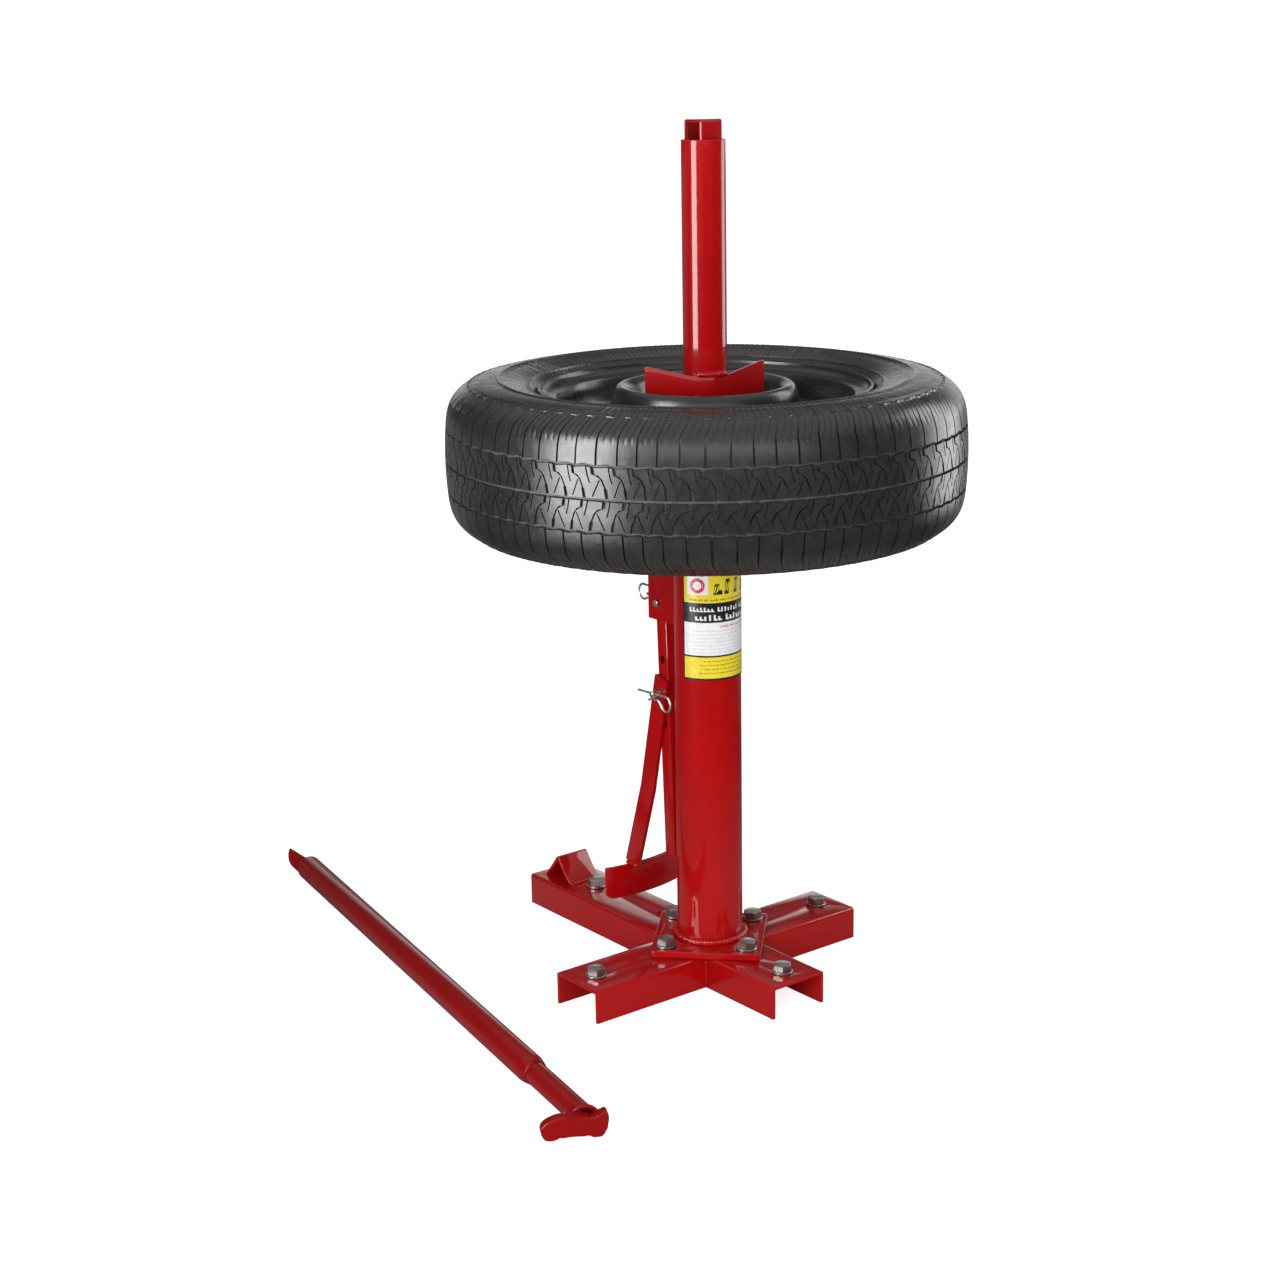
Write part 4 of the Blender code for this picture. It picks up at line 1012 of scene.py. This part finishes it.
def bar_piece(name, mesh, node):
    mesh.transform(bar_matrix())
    add(name, mesh, "mount_bar", "red_enamel", (node,), BAR_SHADED_ENAMEL, sharp=50)


def bar_tube():
    """The main tube: an eased lip round the tongue, and its far end crimped down onto the neck."""
    radius, wall, start, end = 0.0159, 0.0024, 0.078, 0.778
    inner = radius - wall
    crimp = [(0.0131, 0.0), (0.0135, 0.0008), (0.0143, 0.0045), (0.0154, 0.0115), (0.0158, 0.0140)]
    profile = [(r, end - back) for r, back in crimp + [(radius, 0.0165)]]
    profile += [(radius, start + 0.0015), (radius - 0.0005, start + 0.0004), (radius - 0.0014, start)]
    profile += [(inner, start), (inner, end - 0.015), (0.0130, end - 0.003)]
    bar_piece("bar_tube_steel", along_bar(lathe(profile, 96)), "bar_tube")


def neck_end(across, back=0.0):
    """Where the head's back face lies along the bar, at a place across it."""
    back_face = HEAD_PLACE - (HEAD_THICK / 2 + GAP + back) / cos(HEAD_YAW)
    return back_face - across * sin(HEAD_YAW) / cos(HEAD_YAW)


def bar_neck():
    """The neck tube, cut on the slant where it meets the head, with its weld."""
    radius, wall, start = 0.0127, 0.0025, 0.700
    inner = radius - wall
    end = 1.0
    profile = [(radius, end), (radius, start), (inner, start), (inner, end)]
    mesh = along_bar(lathe(profile, 80))
    for v in mesh.vertices:
        if v.co.x > start + 0.01:
            v.co.x = neck_end(v.co.y)
    bar_piece("bar_neck_steel", mesh, "bar_neck")
    ring = []
    for k in range(40):
        turn = 2 * pi * k / 40
        across, above = (radius + 0.0004) * cos(turn), (radius + 0.0004) * sin(turn)
        ring.append(bar_matrix() @ Vector((neck_end(across, 0.0008), across, above)))
    bead("head_neck_weld", ring, 0.0021, "mount_bar", closed=True, finish=BAR_SHADED_ENAMEL)


def slab(outline, thickness, edge):
    """A plate in the XY plane with a smooth outline and rounded edges, centred on z = 0."""
    line = curve_through(outline, 5, closed=True)
    bm = bmesh.new()
    face = bm.faces.new([bm.verts.new((x, y, -thickness / 2)) for x, y in line])
    out = bmesh.ops.extrude_face_region(bm, geom=[face])
    for v in (g for g in out["geom"] if isinstance(g, bmesh.types.BMVert)):
        v.co.z = thickness / 2
    rims = [e for e in bm.edges if abs(e.verts[0].co.z - e.verts[1].co.z) < 1e-6]
    rounding = {"segments": 5, "profile": 0.5, "affect": "EDGES", "clamp_overlap": True}
    bmesh.ops.bevel(bm, geom=rims, offset=edge, **rounding)
    return to_mesh(bm, "slab")


def pry_tip():
    """A forged tongue, tilted about the bar's axis, with a slanting round end."""
    outline = [
        (-0.0072, 0.0014), (-0.0048, -0.0015), (0.0030, -0.0058), (0.0146, -0.0103), (0.0240, -0.0128),
        (0.0340, -0.0136), (0.0500, -0.0134), (0.0760, -0.0130), (0.0775, -0.0093), (0.0950, -0.0092),
        (0.1190, -0.0092), (0.1195, 0.0000), (0.1190, 0.0092), (0.0950, 0.0092), (0.0775, 0.0090),
        (0.0560, 0.0080), (0.0360, 0.0061), (0.0150, 0.0044), (0.0000, 0.0030), (-0.0060, 0.0028),
    ]
    mesh = slab(outline, 0.0049, 0.0012)
    mesh.transform(Matrix.Rotation(radians(37.5), 4, "X") @ Matrix.Translation((0, 0, -0.0053)))
    bar_piece("pry_tip_steel", mesh, "pry_tip")


def mount_head():
    """The hooked head: a fat rounded toe, a hollow underside, and an upswept heel."""
    outline = [
        (-0.0405, 0.0006), (-0.0350, 0.0014), (-0.0295, 0.0032), (-0.0175, 0.0041), (-0.0025, 0.0032),
        (0.0095, 0.0006), (0.0145, 0.0028), (0.0175, 0.0085), (0.0200, 0.0180), (0.0196, 0.0245),
        (0.0165, 0.0284), (0.0115, 0.0262), (0.0065, 0.0236), (0.0015, 0.0230), (-0.0045, 0.0248),
        (-0.0175, 0.0258), (-0.0315, 0.0252), (-0.0435, 0.0208), (-0.0490, 0.0150), (-0.0488, 0.0080),
        (-0.0455, 0.0024),
    ]
    lowered = [(y, z - BAR_TIP[2]) for y, z in outline]
    mesh = slab(lowered, HEAD_THICK, 0.0045)
    mesh.transform(Matrix.Rotation(pi / 2, 4, "Z") @ Matrix.Rotation(pi / 2, 4, "X"))
    mesh.transform(Matrix.Translation((HEAD_PLACE, 0, 0)) @ Matrix.Rotation(HEAD_YAW, 4, "Z"))
    bar_piece("mount_head_steel", mesh, "mount_head")


# ---- base
def base():
    refined("long_leg", "frame", 0.0007)
    refined("cross_leg", "frame", 0.0007)
    refined("base_plate", "frame", 0.0009)
    refined("rim_stop", "frame", 0.0006)
    refined("wheel_plate", "frame", 0.0009)
    refined("post_spacer", "frame", 0.0005, "zinc")


# ---- stage
CAMERA_AZIMUTH = radians(52.23)
CAMERA_PITCH = radians(15.15)
CAMERA_ROLL = radians(-0.962)
CAMERA_LENS = 64.34
CAMERA_PLACE = (1.93246, -1.59428, 1.08137)
WORLD_LIGHT = grey(0.47)
GLOW_AZIMUTH = CAMERA_AZIMUTH - radians(14)


def ahead(azimuth):
    """The level direction in which an azimuth looks: 0 along +Y, 90 degrees along -X."""
    return Vector((-sin(azimuth), cos(azimuth), 0))


def studio_floor():
    """A white floor, lit evenly for the camera, and in reflections bright only close by and far beyond."""
    bpy.ops.mesh.primitive_plane_add(size=30, location=(0, 0, -0.0002))
    floor = bpy.context.object
    floor.name = "studio_floor"
    s = Shader("studio_floor")
    path = s.node("ShaderNodeLightPath")
    pale = s.mix(s.cloud(1.5, 2), grey(0.88), grey(0.90))
    position = s.node("ShaderNodeNewGeometry").outputs["Position"]
    foot = Vector((COLUMN.x, COLUMN.y, 0))
    near = s.span(s.vector("DISTANCE", position, foot), 0.35, 0.85, 0.36, 0.03)
    beyond = s.vector("DOT_PRODUCT", s.vector("SUBTRACT", position, foot), ahead(CAMERA_AZIMUTH))
    mirrored = s.math("ADD", near, s.span(beyond, 0.50, 1.50, 0.0, 0.43))
    colour = s.mix(path.outputs["Is Glossy Ray"], pale, mirrored)
    s.set(Base_Color=colour, Roughness=0.9, Specular_IOR_Level=0.0)
    s.set(Emission_Color=(1, 1, 1, 1), Emission_Strength=s.product(path.outputs["Is Camera Ray"], 0.80))
    floor.data.materials.append(s.material)


def world():
    """White to the camera, soft grey as a light; in reflections dark, with a bright low horizon beyond."""
    made = bpy.data.worlds.new("studio")
    made.use_nodes = True
    bpy.context.scene.world = made
    sky = Nodes(made.node_tree)
    path = sky.node("ShaderNodeLightPath")
    toward = sky.node("ShaderNodeTexCoord").outputs["Generated"]
    beyond = sky.span(sky.vector("DOT_PRODUCT", toward, ahead(GLOW_AZIMUTH)), 0.80, 0.97, 0.0, 1.0)
    height = sky.parts(toward)[2]
    low_sky = sky.product(beyond, sky.span(height, 0.17, 0.34, 1.3, 0.0))
    mirrored = sky.math("ADD", low_sky, sky.span(height, 0.45, 0.75, 0.05, 0.60))
    unseen = sky.mix(path.outputs["Is Glossy Ray"], WORLD_LIGHT, mirrored)
    colour = sky.mix(path.outputs["Is Camera Ray"], unseen, grey(1.0))
    sky.fill(sky.tree.nodes["Background"], Color=colour)


def camera():
    right = Vector((cos(CAMERA_AZIMUTH), sin(CAMERA_AZIMUTH), 0))
    look = ahead(CAMERA_AZIMUTH) * cos(CAMERA_PITCH) - Vector((0, 0, sin(CAMERA_PITCH)))
    up = right.cross(look)
    across = right * cos(CAMERA_ROLL) + up * sin(CAMERA_ROLL)
    upward = up * cos(CAMERA_ROLL) - right * sin(CAMERA_ROLL)
    data = bpy.data.cameras.new("camera")
    data.lens = CAMERA_LENS
    data.sensor_width = 36
    obj = bpy.data.objects.new("camera", data)
    bpy.context.scene.collection.objects.link(obj)
    rotation = Matrix((across, upward, -look)).transposed()
    obj.matrix_world = Matrix.Translation(spot(*CAMERA_PLACE)) @ rotation.to_4x4()
    bpy.context.scene.camera = obj


def soft_light(name, azimuth, distance, height, width, tall, power, target):
    """A soft light hidden from the camera, at an azimuth in degrees from it, left negative."""
    light = bpy.data.lights.new(name, "AREA")
    light.shape = "RECTANGLE"
    light.size, light.size_y = width, tall
    light.energy = power
    obj = bpy.data.objects.new(name, light)
    bpy.context.scene.collection.objects.link(obj)
    obj.location = spot(0, 0, height) - ahead(CAMERA_AZIMUTH + radians(azimuth)) * distance
    obj.rotation_euler = (obj.location - target).to_track_quat("Z", "Y").to_euler()
    obj.visible_camera = False
    return obj


def panel(name, azimuth, low, high, distance, width, power):
    """A standing panel between two heights, there only for reflections."""
    height = (low + high) / 2
    obj = soft_light(name, azimuth, distance, height, width, high - low, power, spot(0, 0, height))
    obj.visible_diffuse = False


def key(name, azimuth, distance, height, span, power):
    """A square light turned toward the wheel, which nothing mirrors."""
    obj = soft_light(name, azimuth, distance, height, span, span, power, WHEEL)
    obj.visible_glossy = False


def studio():
    studio_floor()
    world()
    camera()
    panel("strip_left", -52, 0.15, 1.55, 1.5, 0.72, 38)
    panel("strip_right", 116, 0.15, 1.9, 1.7, 0.80, 16)
    panel("front_glow", 0, 0.85, 2.2, 2.4, 4.0, 24)
    key("top_left", -60, 1.6, 2.2, 0.9, 4)
    key("left_key", -22, 2.4, 1.0, 1.2, 31)
    key("right_key", 34, 2.4, 1.0, 0.8, 10)
    bpy.context.scene.view_settings.view_transform = "Standard"


# ---- everything
base()
column_and_post()
frame_welds()
fasteners()
pins()
breaker()
rim_barrel()
wheel_disc()
valve()
tyre()
label()
bar_tube()
bar_neck()
pry_tip()
mount_head()
studio()
